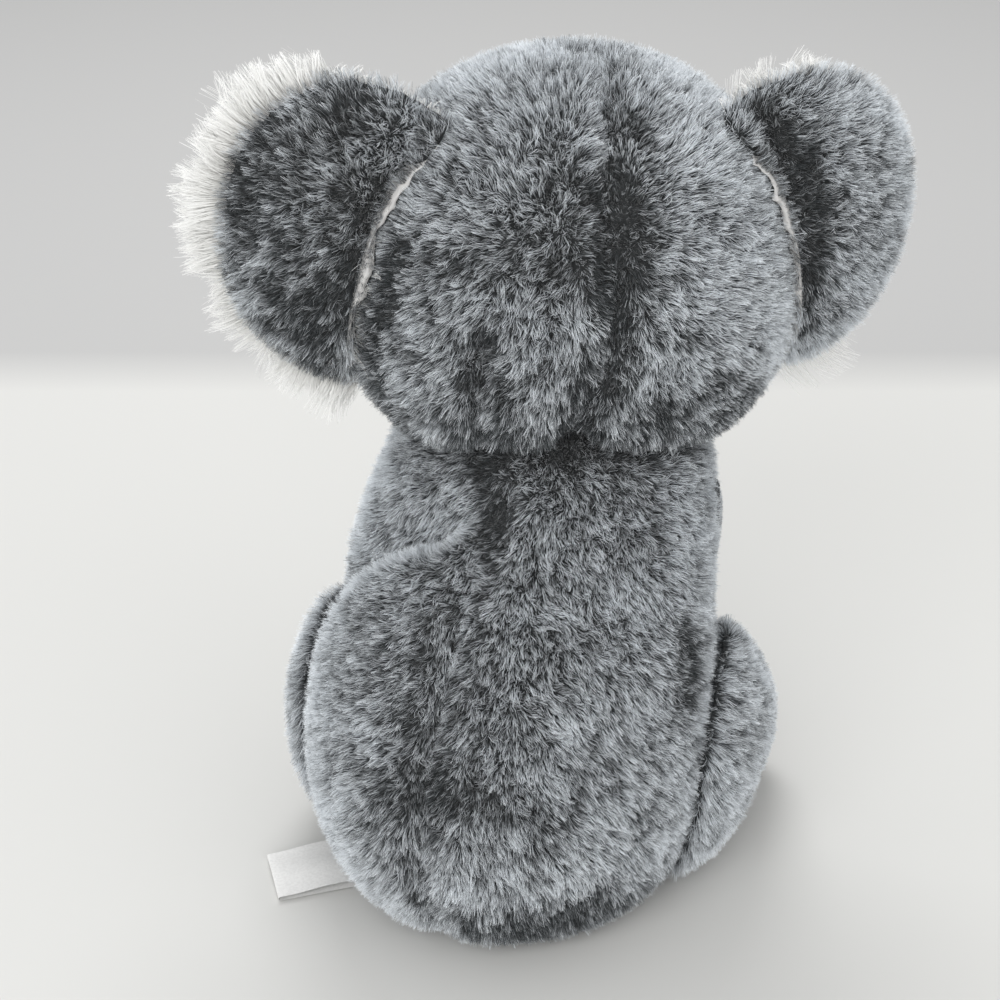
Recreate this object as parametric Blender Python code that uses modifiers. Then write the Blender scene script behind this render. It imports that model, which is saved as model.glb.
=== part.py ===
"""Sitting plush koala: sewn skins, stuffing, ears, limbs, face and label as separate pieces.

Metres, +Z up. The koala faces -Y and its left is +X. The origin is on the table under the
middle of the seat. At rest the head is turned a little to the koala's left.
"""

import math

import bmesh
import bpy
from mathutils import Matrix, Vector

# Clearances shared by all pieces
GAP = 0.0003
SKIN = 0.0025
FLOOR_CUT = 0.0005
OVERRUN = 0.05
BEYOND = 1.0
MERGE = 0.00001

# Body: a pear that leans forward, ending in a round dome that the head sits on
BODY_HEIGHT = 0.180
SEAT_WIDTH = 0.134
SEAT_BACK = 0.078
SEAT_FRONT = 0.060
NECK_FORWARD = 0.030
NECK_RADIUS = 0.056
NECK_DOME = 0.036
NECK_OPENING = 0.026
PELLET_HEIGHT = 0.042
TUMMY_WIDTH = 0.066
TUMMY_HEIGHT = 0.105
TUMMY_BOTTOM = 0.030

# Head, with its own axes at its middle; it turns about the neck's upright axis
HEAD_WIDTH = 0.149
HEAD_HEIGHT = 0.147
HEAD_DEPTH = 0.130
HEAD_RISE = 0.033
HEAD_FORWARD = 0.004
HEAD_SIDE = 0.005
HEAD_TURN = math.radians(35)
HEAD_TILT = math.radians(-1)
HEAD_TURN_LOW = math.radians(-50)
HEAD_TURN_HIGH = math.radians(5)
SEAM_GROOVE = 0.004
LOBE_BULGE = 0.002
CHEEK_BULGE = 0.010

# Ears: puffed round discs, cupped and turned forward, sewn along a chord on the side of the head
EAR_RADIUS = 0.054
EAR_THICKNESS = 0.026
EAR_CUP = 0.007
EAR_SET_OUT = 0.068
EAR_RISE = 0.015
EAR_BACK = 0.012
EAR_TURN = math.radians(24)
EAR_ROOT = 0.010
EAR_SWING = math.radians(8)
LEFT_FRINGE = 0.008
RIGHT_FRINGE = 0.002
FRINGE_DROP_SHARE = 0.6

# Arms hang from the shoulders and lie forward on the belly
SHOULDER_WIDTH = 0.073
SHOULDER_DROP = 0.010
SHOULDER_FORWARD = 0.008
ARM_LENGTH = 0.086
ARM_THICKNESS = 0.041
PAW_THICKNESS = 0.042
ARM_DOWN = math.radians(48)
ARM_IN = math.radians(15)
ARM_LIFT = math.radians(25)

# Legs: a haunch against the body's side, running into a foot whose sole faces forward
HIP_WIDTH = 0.110
HIP_FORWARD = 0.017
LEFT_HIP_OUT = 0.001
LEFT_HIP_BACK = 0.029
LEG_LENGTH = 0.116
THIGH_HEIGHT = 0.096
THIGH_THICKNESS = 0.049
FOOT_HEIGHT = 0.052
FOOT_WIDTH = 0.044
LEG_TOE_IN_LEFT = math.radians(9)
LEG_TOE_IN_RIGHT = math.radians(10)
LEG_LIFT = math.radians(14)
SOLE_PAD_THICKNESS = 0.002
SOLE_WIDTH = 0.030
SOLE_HEIGHT = 0.038

# Face
MUZZLE_WIDTH = 0.062
MUZZLE_HEIGHT = 0.048
MUZZLE_DEPTH = 0.030
MUZZLE_DROP = 0.020
NOSE_WIDTH = 0.025
NOSE_HEIGHT = 0.036
NOSE_DEPTH = 0.018
NOSE_DROP = 0.008
EYE_RADIUS = 0.0058
EYE_SPACING = 0.060
EYE_RISE = 0.008
EYE_BULGE = 0.0040
EYE_SAG = 0.0002
SHANK_RADIUS = 0.0020
SHANK_LENGTH = 0.0120
WASHER_RADIUS = 0.0075
WASHER_THICKNESS = 0.0014
WASHER_SEAT = 0.0012

# Label: a satin loop, folded at its free end, lying just above the table
LABEL_WIDTH = 0.024
LABEL_ASIDE = 0.004
LABEL_REACH = 0.030
LABEL_CLOTH = 0.0003
LABEL_FOLD = 0.0005
LABEL_HEIGHT = 0.0004
LABEL_ROOT = 0.056
LABEL_BEARING = math.radians(44)

# Shares of body height, half seat width, seat back and seat front, from the table to the shoulders
BODY_RING_SHARES = (
    (0.00, 0.62, 0.56, 0.60),
    (0.03, 0.90, 0.82, 0.88),
    (0.30, 1.07, 0.99, 1.08),
    (0.60, 0.93, 0.66, 1.10),
)
# Share of the dome's height above its base, and of the neck radius
DOME_RING_SHARES = ((0.05, 0.99), (1.02, 0.70))

# Shares of leg length along it, of thigh height up it, of half thigh height and of half thickness
LEG_RING_SHARES = (
    (-0.20, 0.48, 0.56, 0.60),
    (-0.04, 0.51, 0.98, 1.00),
    (0.14, 0.54, 1.04, 1.06),
    (0.38, 0.42, 0.80, 1.00),
)
# Shares of leg length along it, of foot height up it, of half foot height and of half foot width
FOOT_RING_SHARES = ((0.54, 0.50, 0.98, 0.94), (0.68, 0.52, 1.00, 1.00))

# Shares of arm length along it, and of the half thickness of the arm or the paw
ARM_RING_SHARES = ((-0.24, 0.90), (0.12, 1.06), (0.56, 0.94))
PAW_RING_SHARES = ((0.90, 1.00),)

# A cage point belongs to a side of the head from this share of the way to it, and lies on the
# seam's plane below the smaller share
PART_SHARE = 0.5
MIDDLE_SHARE = 0.1

HEAD_PIECES = ("head_skin", "head_stuffing", "muzzle", "nose", "eye_left", "eye_right", "eye_washer_left",
               "eye_washer_right")

BODY_SIDES = 8
LIMB_SIDES = 6
SMOOTH_LEVELS = 2
SWEEP_STEPS = 2
ROUND_STEPS = 32
SMALL_STEPS = 20
DOME_STEPS = 5
FOLD_STEPS = 4


def clear_scene():
    """Start from an empty scene."""
    for obj in list(bpy.data.objects):
        bpy.data.objects.remove(obj, do_unlink=True)


def make_collection(name):
    """Make a collection linked to the scene."""
    group = bpy.data.collections.new(name)
    bpy.context.scene.collection.children.link(group)
    return group


clear_scene()
KOALA = make_collection("plush_koala")
CUTTERS = make_collection("cutters")


def material(name, colour, roughness, metallic=0.0):
    """Make or reuse a plain Principled material."""
    found = bpy.data.materials.get(name)
    if found:
        return found
    made = bpy.data.materials.new(name)
    made.use_nodes = True
    shader = made.node_tree.nodes["Principled BSDF"]
    shader.inputs["Base Color"].default_value = (*colour, 1.0)
    shader.inputs["Roughness"].default_value = roughness
    shader.inputs["Metallic"].default_value = metallic
    made.diffuse_color = (*colour, 1.0)
    return made


def grey_pile():
    return material("grey_pile", (0.20, 0.21, 0.23), 0.95)


def white_pile():
    return material("white_pile", (0.85, 0.84, 0.82), 0.95)


def pale_plush():
    return material("pale_plush", (0.62, 0.62, 0.63), 0.95)


def dark_suede():
    return material("dark_suede", (0.05, 0.05, 0.055), 0.85)


def dark_plastic():
    return material("dark_plastic", (0.01, 0.01, 0.01), 0.12)


def washer_plastic():
    return material("washer_plastic", (0.75, 0.75, 0.72), 0.45)


def filling():
    return material("filling", (0.88, 0.88, 0.86), 0.9)


def pellet_cloth():
    return material("pellet_cloth", (0.55, 0.53, 0.50), 0.9)


def satin():
    return material("satin", (0.86, 0.86, 0.86), 0.4)


# Building blocks


def add_object(name, bm, group):
    """Turn a bmesh into an object in a collection."""
    bmesh.ops.recalc_face_normals(bm, faces=bm.faces)
    mesh = bpy.data.meshes.new(name)
    bm.to_mesh(mesh)
    bm.free()
    mesh.shade_smooth()
    obj = bpy.data.objects.new(name, mesh)
    group.objects.link(obj)
    return obj


def cage_swell(sides):
    """How much wider a ring of the cage is than the smooth surface that it gives."""
    own_weight = 4
    neighbours = 2
    return (own_weight + neighbours) / (own_weight + neighbours * math.cos(2 * math.pi / sides))


def oval_ring(centre, across, up, half_across, half_up, half_down, sides):
    """Points of an oval round a centre, with unlike halves on its two sides."""
    swell = cage_swell(sides)
    points = []
    for index in range(sides):
        angle = 2 * math.pi * (index + 0.5) / sides
        rise = half_up if math.sin(angle) > 0 else half_down
        aside = across * (half_across * swell * math.cos(angle))
        points.append(centre + aside + up * (rise * swell * math.sin(angle)))
    return points


def loft(bm, rings):
    """Skin a row of rings with quads and close both ends."""
    loops = [[bm.verts.new(point) for point in ring] for ring in rings]
    sides = len(loops[0])
    for lower, upper in zip(loops, loops[1:]):
        for index in range(sides):
            following = (index + 1) % sides
            bm.faces.new((lower[index], lower[following], upper[following], upper[index]))
    bm.faces.new(loops[0])
    bm.faces.new(loops[-1])


def smooth(obj, levels=SMOOTH_LEVELS):
    """Round a coarse cage off."""
    subdivide = obj.modifiers.new("smooth", "SUBSURF")
    subdivide.levels = levels
    subdivide.render_levels = levels


def grow(obj, distance):
    """Move a surface out along its normals, or in where the distance is below zero."""
    shift = obj.modifiers.new("grow", "DISPLACE")
    shift.strength = distance
    shift.mid_level = 0.0


def hollow(obj, thickness):
    """Leave only a skin inside the surface."""
    shell = obj.modifiers.new("skin", "SOLIDIFY")
    shell.thickness = thickness
    shell.offset = -1.0
    shell.use_even_offset = True


def baked(obj):
    """Apply an object's modifiers."""
    bpy.context.view_layer.update()
    graph = bpy.context.evaluated_depsgraph_get()
    mesh = bpy.data.meshes.new_from_object(obj.evaluated_get(graph))
    obj.modifiers.clear()
    obj.data = mesh
    return obj


def as_cutter(obj):
    """Mark an object as a cutter."""
    obj.hide_render = True
    obj.display_type = "WIRE"
    return obj


def cut(obj, cutter, operation="DIFFERENCE"):
    """Add a Boolean with one cutter."""
    boolean = obj.modifiers.new(cutter.name, "BOOLEAN")
    boolean.object = cutter
    boolean.operation = operation


def swept_hull(name, form, pivot, axis, low, high):
    """A smooth neighbour's outline over all the angles that a piece turns through beside it."""
    bm = bmesh.new()
    for step in range(SWEEP_STEPS + 1):
        angle = low + (high - low) * step / SWEEP_STEPS
        spin = Matrix.Translation(pivot) @ Matrix.Rotation(-angle, 4, axis) @ Matrix.Translation(-pivot)
        for vert in form.data.vertices:
            bm.verts.new(spin @ vert.co)
    hull = bmesh.ops.convex_hull(bm, input=bm.verts)
    spare = set(hull["geom_interior"] + hull["geom_unused"])
    inside = [item for item in spare if isinstance(item, bmesh.types.BMVert)]
    bmesh.ops.delete(bm, geom=inside, context="VERTS")
    return as_cutter(add_object(name, bm, CUTTERS))


def box_cutter(name, low, high):
    """A box from its lowest to its highest corner."""
    bm = bmesh.new()
    bmesh.ops.create_cube(bm, size=1.0)
    low = Vector(low)
    high = Vector(high)
    bmesh.ops.scale(bm, vec=high - low, verts=bm.verts)
    bmesh.ops.translate(bm, vec=(high + low) / 2, verts=bm.verts)
    return as_cutter(add_object(name, bm, CUTTERS))


def cylinder_cutter(name, start, direction, radius, length, steps=SMALL_STEPS):
    """A round bar from a start point along a direction."""
    bm = bmesh.new()
    bmesh.ops.create_cone(bm, cap_ends=True, segments=steps, radius1=radius, radius2=radius, depth=length)
    bmesh.ops.translate(bm, vec=(0, 0, length / 2), verts=bm.verts)
    turn = Vector((0, 0, 1)).rotation_difference(direction).to_matrix().to_4x4()
    bmesh.ops.transform(bm, matrix=Matrix.Translation(start) @ turn, verts=bm.verts)
    return as_cutter(add_object(name, bm, CUTTERS))


def turned_piece(name, profile, group, steps=SMALL_STEPS):
    """Revolve a profile of (radius, height) points about Z, listed from the top to the bottom."""
    bm = bmesh.new()
    points = [bm.verts.new((radius, 0, height)) for radius, height in profile]
    for upper, lower in zip(points, points[1:]):
        bm.edges.new((upper, lower))
    obj = add_object(name, bm, group)
    screw = obj.modifiers.new("turn", "SCREW")
    screw.steps = steps
    screw.render_steps = steps
    screw.use_merge_vertices = True
    screw.merge_threshold = MERGE
    screw.use_smooth_shade = True
    return obj


def ball_cage(half_sizes, shape=None):
    """A rounded cube's cage of 26 points, scaled to half sizes that its smooth surface reaches."""
    bm = bmesh.new()
    bmesh.ops.create_cube(bm, size=2.0)
    bmesh.ops.subdivide_edges(bm, edges=bm.edges, cuts=1, use_grid_fill=True)
    swell = cage_swell(BODY_SIDES)
    for vert in bm.verts:
        unit = vert.co.normalized()
        place = Vector((unit.x * half_sizes[0], unit.y * half_sizes[1], unit.z * half_sizes[2]))
        vert.co = place * swell
        if shape:
            vert.co += shape(unit)
    return bm


def bend(obj, formula):
    """Move each point of an object's mesh by a formula of its place."""
    for vert in obj.data.vertices:
        vert.co = formula(vert.co)


def lowest_point(obj):
    """The lowest height of an object's smooth surface."""
    bpy.context.view_layer.update()
    graph = bpy.context.evaluated_depsgraph_get()
    mesh = obj.evaluated_get(graph).to_mesh()
    return min(vert.co.z for vert in mesh.vertices)


def settle(obj):
    """Lower a soft form until its underside can be cut flat at the table."""
    drop = -FLOOR_CUT - lowest_point(obj)
    obj.data.transform(Matrix.Translation((0, 0, drop)))


def hang_on(name, point, axis, pieces):
    """Parent moving pieces to an empty on their joint's axis, whose own Z lies along the axis."""
    turn = Vector((0, 0, 1)).rotation_difference(axis).to_matrix().to_4x4()
    place = Matrix.Translation(point) @ turn
    pivot = bpy.data.objects.new(name, None)
    pivot.matrix_world = place
    KOALA.objects.link(pivot)
    for piece in pieces:
        piece.parent = pivot
        piece.matrix_parent_inverse = place.inverted()
    return pivot


def surface_hit(form, origin, direction):
    """Where a line first meets a form, and the surface's normal there."""
    found, place, normal, _ = form.ray_cast(origin, direction)
    if not found:
        raise ValueError("the line misses " + form.name)
    return place, normal


FLOOR_CUTTER = box_cutter("floor_cutter", (-BEYOND, -BEYOND, -OVERRUN), (BEYOND, BEYOND, 0))

# Body


def body_surface(name, group, distance=0.0):
    """The body's outer surface, moved out or in by a distance."""
    across = Vector((1, 0, 0))
    back = Vector((0, 1, 0))
    rings = []
    dome_base = BODY_HEIGHT - NECK_DOME
    for height, width, behind, before in BODY_RING_SHARES:
        centre = Vector((0, 0, height * BODY_HEIGHT))
        rings.append(oval_ring(centre, across, back, width * SEAT_WIDTH / 2, behind * SEAT_BACK,
                               before * SEAT_FRONT, BODY_SIDES))
    for height, radius in DOME_RING_SHARES:
        centre = Vector((0, -NECK_FORWARD, dome_base + height * NECK_DOME))
        reach = radius * NECK_RADIUS
        rings.append(oval_ring(centre, across, back, reach, reach, reach, BODY_SIDES))
    bm = bmesh.new()
    loft(bm, rings)
    obj = add_object(name, bm, group)
    smooth(obj)
    settle(obj)
    if distance:
        grow(obj, distance)
    return obj


def tummy_cutter(name, margin):
    """An oval block through the front of the body, where the pale panel is let in."""
    half_width = TUMMY_WIDTH / 2 + margin
    half_height = TUMMY_HEIGHT / 2 + margin
    reach = SEAT_FRONT + OVERRUN
    bm = bmesh.new()
    bmesh.ops.create_cone(bm, cap_ends=True, segments=ROUND_STEPS, radius1=1, radius2=1, depth=1)
    bmesh.ops.rotate(bm, matrix=Matrix.Rotation(math.pi / 2, 3, "X"), verts=bm.verts)
    bmesh.ops.scale(bm, vec=(half_width, reach, half_height), verts=bm.verts)
    bmesh.ops.translate(bm, vec=(0, -reach / 2, TUMMY_BOTTOM + TUMMY_HEIGHT / 2), verts=bm.verts)
    return as_cutter(add_object(name, bm, CUTTERS))


def make_body():
    """Skin, tummy panel, stuffing and pellet bag."""
    skin = body_surface("body_skin", KOALA)
    hollow(skin, SKIN)
    neck = Vector((0, -NECK_FORWARD, BODY_HEIGHT - NECK_DOME / 2))
    cut(skin, cylinder_cutter("neck_opening", neck, Vector((0, 0, 1)), NECK_OPENING, OVERRUN, ROUND_STEPS))
    cut(skin, FLOOR_CUTTER)
    cut(skin, tummy_cutter("tummy_outer", GAP))
    skin.data.materials.append(grey_pile())
    panel = body_surface("tummy_panel", KOALA)
    hollow(panel, SKIN)
    cut(panel, tummy_cutter("tummy_inner", 0), "INTERSECT")
    panel.data.materials.append(pale_plush())

    inner = -(SKIN + GAP)
    stuffing = body_surface("body_stuffing", KOALA, inner)
    cut(stuffing, box_cutter("below_stuffing", (-BEYOND, -BEYOND, -BEYOND),
                             (BEYOND, BEYOND, PELLET_HEIGHT + GAP)))
    stuffing.data.materials.append(filling())
    pellets = body_surface("pellet_bag", KOALA, inner)
    cut(pellets, box_cutter("above_pellets", (-BEYOND, -BEYOND, PELLET_HEIGHT), (BEYOND, BEYOND, BEYOND)))
    pellets.data.materials.append(pellet_cloth())


# Head


def head_place():
    """The head's own axes: at the head's middle, turned about the neck and tilted a little."""
    middle = Vector((-HEAD_SIDE, -NECK_FORWARD, BODY_HEIGHT + HEAD_RISE))
    turn = Matrix.Rotation(HEAD_TURN, 4, "Z") @ Matrix.Rotation(HEAD_TILT, 4, "Y")
    return Matrix.Translation(middle) @ turn


HEAD_PLACE = head_place()


def head_shape(unit):
    """Draw the seam down the back in, and let the cheeks and lower lobes out over the neck."""
    shift = Vector((0, 0, 0))
    beside = abs(unit.x) > PART_SHARE
    below = unit.z < -PART_SHARE
    behind = unit.y > PART_SHARE
    on_seam = behind and abs(unit.x) < MIDDLE_SHARE
    on_lobe = below and behind and beside
    on_cheek = below and beside
    if on_seam:
        shift.y -= SEAM_GROOVE
    if on_lobe:
        shift.y += LOBE_BULGE
        shift.z -= LOBE_BULGE
    if on_cheek:
        shift.x += math.copysign(CHEEK_BULGE, unit.x)
    return shift


def head_surface(name, group, distance=0.0):
    """The head's outer surface in place, moved out or in by a distance."""
    bm = ball_cage((HEAD_WIDTH / 2, HEAD_DEPTH / 2, HEAD_HEIGHT / 2), head_shape)
    bmesh.ops.translate(bm, vec=(0, -HEAD_FORWARD, 0), verts=bm.verts)
    bmesh.ops.transform(bm, matrix=HEAD_PLACE, verts=bm.verts)
    obj = add_object(name, bm, group)
    smooth(obj)
    if distance:
        grow(obj, distance)
    return obj


def neck_dome_cutter():
    """The dome that the head sits on, round about the neck's axis so that the head can turn."""
    bm = bmesh.new()
    bmesh.ops.create_uvsphere(bm, u_segments=ROUND_STEPS, v_segments=ROUND_STEPS // 2, radius=1)
    bmesh.ops.scale(bm, vec=(NECK_RADIUS + GAP, NECK_RADIUS + GAP, NECK_DOME + GAP), verts=bm.verts)
    bmesh.ops.translate(bm, vec=(0, -NECK_FORWARD, BODY_HEIGHT - NECK_DOME), verts=bm.verts)
    return as_cutter(add_object("neck_dome_cutter", bm, CUTTERS))


def on_face(form, x, z):
    """A place on the front of the head and the way out of it there, from the head's own axes."""
    forward = HEAD_PLACE.to_3x3() @ Vector((0, -1, 0))
    start = HEAD_PLACE @ Vector((x, -HEAD_DEPTH, z))
    return surface_hit(form, start, -forward)


def facing(place, out):
    """Axes at a place, with their own Z along the way out and their X level."""
    level = Vector((0, 0, 1)).cross(out).normalized()
    upward = out.cross(level)
    turn = Matrix((level, upward, out)).transposed().to_4x4()
    return Matrix.Translation(place) @ turn


def make_eye(word, place, out):
    """A safety eye: a dome on a shank outside the skin, and the washer that locks it inside."""
    dome = [(EYE_RADIUS * math.sin(turn), EYE_BULGE * math.cos(turn))
            for turn in (math.pi / 2 * step / DOME_STEPS for step in range(DOME_STEPS + 1))]
    shank = [(SHANK_RADIUS, 0), (SHANK_RADIUS, -SHANK_LENGTH), (0, -SHANK_LENGTH)]
    eye = turned_piece(f"eye_{word}", dome + shank, KOALA)
    eye.matrix_world = facing(place + out * (GAP + EYE_SAG), out)
    eye.data.materials.append(dark_plastic())
    bore = SHANK_RADIUS + GAP
    ring = [(bore, 0), (WASHER_RADIUS, 0), (WASHER_RADIUS, -WASHER_THICKNESS), (bore, -WASHER_THICKNESS),
            (bore, 0)]
    washer = turned_piece(f"eye_washer_{word}", ring, KOALA)
    washer.matrix_world = facing(place - out * (SKIN + WASHER_SEAT), out)
    washer.data.materials.append(washer_plastic())


def make_head(form):
    """Skin and stuffing, both open where the body's dome comes in, and the two eyes."""
    dome = neck_dome_cutter()
    skin = head_surface("head_skin", KOALA)
    hollow(skin, SKIN)
    stuffing = head_surface("head_stuffing", KOALA, -(SKIN + GAP))
    cut(skin, dome)
    cut(stuffing, dome)
    for side, word in ((1, "left"), (-1, "right")):
        place, out = on_face(form, side * EYE_SPACING / 2, EYE_RISE)
        start = place + out * EYE_RADIUS
        hole = cylinder_cutter(f"shank_hole_{word}", start, -out, SHANK_RADIUS + GAP, EYE_RADIUS + 2 * SKIN)
        cut(skin, hole)
        depth = EYE_RADIUS + SHANK_LENGTH + GAP
        cut(stuffing, cylinder_cutter(f"washer_pocket_{word}", start, -out, WASHER_RADIUS + GAP, depth))
        make_eye(word, place, out)
    skin.data.materials.append(grey_pile())
    stuffing.data.materials.append(filling())


def make_muzzle_and_nose(form, grown):
    """The pale mound of the muzzle and the oval nose that is sewn on it, each cut to what it sits on."""
    place, out = on_face(form, 0, -MUZZLE_DROP)
    axes = facing(place, out)
    bm = ball_cage((MUZZLE_WIDTH / 2, MUZZLE_HEIGHT / 2, MUZZLE_DEPTH / 2))
    bmesh.ops.transform(bm, matrix=axes, verts=bm.verts)
    muzzle = add_object("muzzle", bm, KOALA)
    smooth(muzzle)
    baked(muzzle)
    seat = as_cutter(muzzle.copy())
    seat.data = muzzle.data.copy()
    seat.name = "muzzle_grown"
    CUTTERS.objects.link(seat)
    grow(seat, GAP)
    cut(muzzle, grown)
    muzzle.data.materials.append(pale_plush())

    forward = HEAD_PLACE.to_3x3() @ Vector((0, -1, 0))
    start = HEAD_PLACE @ Vector((0, -HEAD_DEPTH, -NOSE_DROP))
    nose_place, _ = surface_hit(muzzle, start, -forward)
    bm = ball_cage((NOSE_WIDTH / 2, NOSE_HEIGHT / 2, NOSE_DEPTH / 2))
    bmesh.ops.transform(bm, matrix=facing(nose_place, forward), verts=bm.verts)
    nose = add_object("nose", bm, KOALA)
    smooth(nose, levels=1)
    cut(nose, seat)
    cut(nose, grown)
    nose.data.materials.append(dark_suede())


# Ears


def ear_place(side):
    """An ear's own axes, in the head's: at its middle, turned so that its rim lies forward of its root."""
    middle = Vector((side * EAR_SET_OUT, EAR_BACK, EAR_RISE))
    return Matrix.Translation(middle) @ Matrix.Rotation(-side * EAR_TURN, 4, "Z")


def ear_hinge(side):
    """The seam chord of an ear: a point on it and its direction, in the head's axes."""
    out = Vector((side * EAR_SET_OUT, 0, EAR_RISE)).normalized()
    along = Vector((-side * out.z, 0, side * out.x))
    place = ear_place(side)
    return place @ (-out * EAR_ROOT), place.to_3x3() @ along


def make_ear(side, word, head_grown):
    """Front and back panels of one ear, split at the rim, cupped forward and cut to the head.

    The front panel's long pile reaches out past the back panel by the fringe, which hangs a little.
    """
    hinge, along = ear_hinge(side)
    pivot = HEAD_PLACE @ hinge
    axis = HEAD_PLACE.to_3x3() @ along
    head_swept = swept_hull(f"head_for_ear_{word}", head_grown, pivot, axis, -EAR_SWING, EAR_SWING)

    def cupped(point):
        share = (point.x ** 2 + point.z ** 2) / EAR_RADIUS ** 2
        return Vector((point.x, point.y - EAR_CUP * share, point.z))

    fringe = LEFT_FRINGE if side > 0 else RIGHT_FRINGE
    for panel, sign, beyond, finish in (("front", -1, fringe / 2, white_pile()), ("back", 1, 0, grey_pile())):
        reach = EAR_RADIUS + beyond
        bm = ball_cage((reach, EAR_THICKNESS / 2, reach))
        bmesh.ops.translate(bm, vec=(side * beyond, 0, -FRINGE_DROP_SHARE * beyond), verts=bm.verts)
        obj = add_object(f"ear_{panel}_{word}", bm, KOALA)
        smooth(obj)
        low = (-BEYOND, -BEYOND if sign > 0 else -GAP / 2, -BEYOND)
        high = (BEYOND, GAP / 2 if sign > 0 else BEYOND, BEYOND)
        cut(obj, box_cutter(f"other_side_of_{obj.name}", low, high))
        baked(obj)
        bend(obj, cupped)
        obj.data.transform(HEAD_PLACE @ ear_place(side))
        cut(obj, head_swept)
        obj.data.materials.append(finish)


# Limbs


def shoulder(side):
    """The arm's pivot."""
    forward = NECK_FORWARD + SHOULDER_FORWARD
    return Vector((side * SHOULDER_WIDTH / 2, -forward, BODY_HEIGHT - NECK_DOME - SHOULDER_DROP))


def make_arm(side, word, body_grown):
    """One arm with its paw, lying forward and down, cut to the body."""
    pivot = shoulder(side)
    along = Vector((-side * math.sin(ARM_IN), -math.cos(ARM_IN) * math.cos(ARM_DOWN),
                    -math.cos(ARM_IN) * math.sin(ARM_DOWN)))
    across = along.cross(Vector((0, 0, 1))).normalized()
    up = across.cross(along)
    rings = []
    for shares, thickness in ((ARM_RING_SHARES, ARM_THICKNESS), (PAW_RING_SHARES, PAW_THICKNESS)):
        for distance, reach in shares:
            half = reach * thickness / 2
            rings.append(oval_ring(pivot + along * (distance * ARM_LENGTH), across, up, half, half, half,
                                   LIMB_SIDES))
    bm = bmesh.new()
    loft(bm, rings)
    obj = add_object(f"arm_{word}", bm, KOALA)
    smooth(obj)
    cut(obj, swept_hull(f"body_for_arm_{word}", body_grown, pivot, Vector((1, 0, 0)), -ARM_LIFT, 0))
    obj.data.materials.append(grey_pile())


def hip(side):
    """The leg's pivot."""
    out = LEFT_HIP_OUT if side > 0 else 0
    back = LEFT_HIP_BACK if side > 0 else 0
    return Vector((side * (HIP_WIDTH / 2 + out), back - HIP_FORWARD, THIGH_HEIGHT / 2))


def leg_place(side):
    """The leg's own axes: at the hip, with the foot turned in or out."""
    toe_in = LEG_TOE_IN_LEFT if side > 0 else LEG_TOE_IN_RIGHT
    return Matrix.Translation(hip(side)) @ Matrix.Rotation(-side * toe_in, 4, "Z")


def leg_surface(name, side, group, distance=0.0):
    """A leg's outer surface in place, moved out or in by a distance."""
    across = Vector((1, 0, 0))
    up = Vector((0, 0, 1))
    rings = []
    for shares, height, width in ((LEG_RING_SHARES, THIGH_HEIGHT, THIGH_THICKNESS),
                                  (FOOT_RING_SHARES, FOOT_HEIGHT, FOOT_WIDTH)):
        for distance_share, rise, tall, wide in shares:
            centre = Vector((0, -distance_share * LEG_LENGTH, rise * height - THIGH_HEIGHT / 2))
            rings.append(oval_ring(centre, across, up, wide * width / 2, tall * height / 2, tall * height / 2,
                                   LIMB_SIDES))
    bm = bmesh.new()
    loft(bm, rings)
    bmesh.ops.transform(bm, matrix=leg_place(side), verts=bm.verts)
    obj = add_object(name, bm, group)
    smooth(obj)
    settle(obj)
    if distance:
        grow(obj, distance)
    return obj


def sole_cutter(name, side, margin):
    """An oval bar through the end of a foot."""
    turn = leg_place(side)
    forward = turn.to_3x3() @ Vector((0, -1, 0))
    reach = LEG_LENGTH
    bm = bmesh.new()
    bmesh.ops.create_cone(bm, cap_ends=True, segments=SMALL_STEPS, radius1=1, radius2=1, depth=reach)
    half_width = SOLE_WIDTH / 2 + margin
    half_height = SOLE_HEIGHT / 2 + margin
    bmesh.ops.scale(bm, vec=(half_width, half_height, 1), verts=bm.verts)
    middle = turn @ Vector((0, -reach, FOOT_HEIGHT / 2 - THIGH_HEIGHT / 2))
    bmesh.ops.transform(bm, matrix=facing(middle, forward), verts=bm.verts)
    return as_cutter(add_object(name, bm, CUTTERS))


def make_leg(side, word, body_grown):
    """One leg with its foot and sole pad, flat where it rests on the table, cut to the body."""
    pad = leg_surface(f"sole_pad_{word}", side, KOALA)
    hollow(pad, SOLE_PAD_THICKNESS)
    cut(pad, sole_cutter(f"sole_inner_{word}", side, 0), "INTERSECT")
    pad.data.materials.append(dark_suede())

    recess = as_cutter(leg_surface(f"sole_recess_{word}", side, CUTTERS, SOLE_PAD_THICKNESS))
    hollow(recess, 2 * SOLE_PAD_THICKNESS + GAP)
    cut(recess, sole_cutter(f"sole_outer_{word}", side, GAP), "INTERSECT")
    leg = leg_surface(f"leg_{word}", side, KOALA)
    cut(leg, recess)
    cut(leg, FLOOR_CUTTER)
    cut(leg, swept_hull(f"body_for_leg_{word}", body_grown, hip(side), Vector((1, 0, 0)), -LEG_LIFT, 0))
    leg.data.materials.append(grey_pile())


# Label


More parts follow.
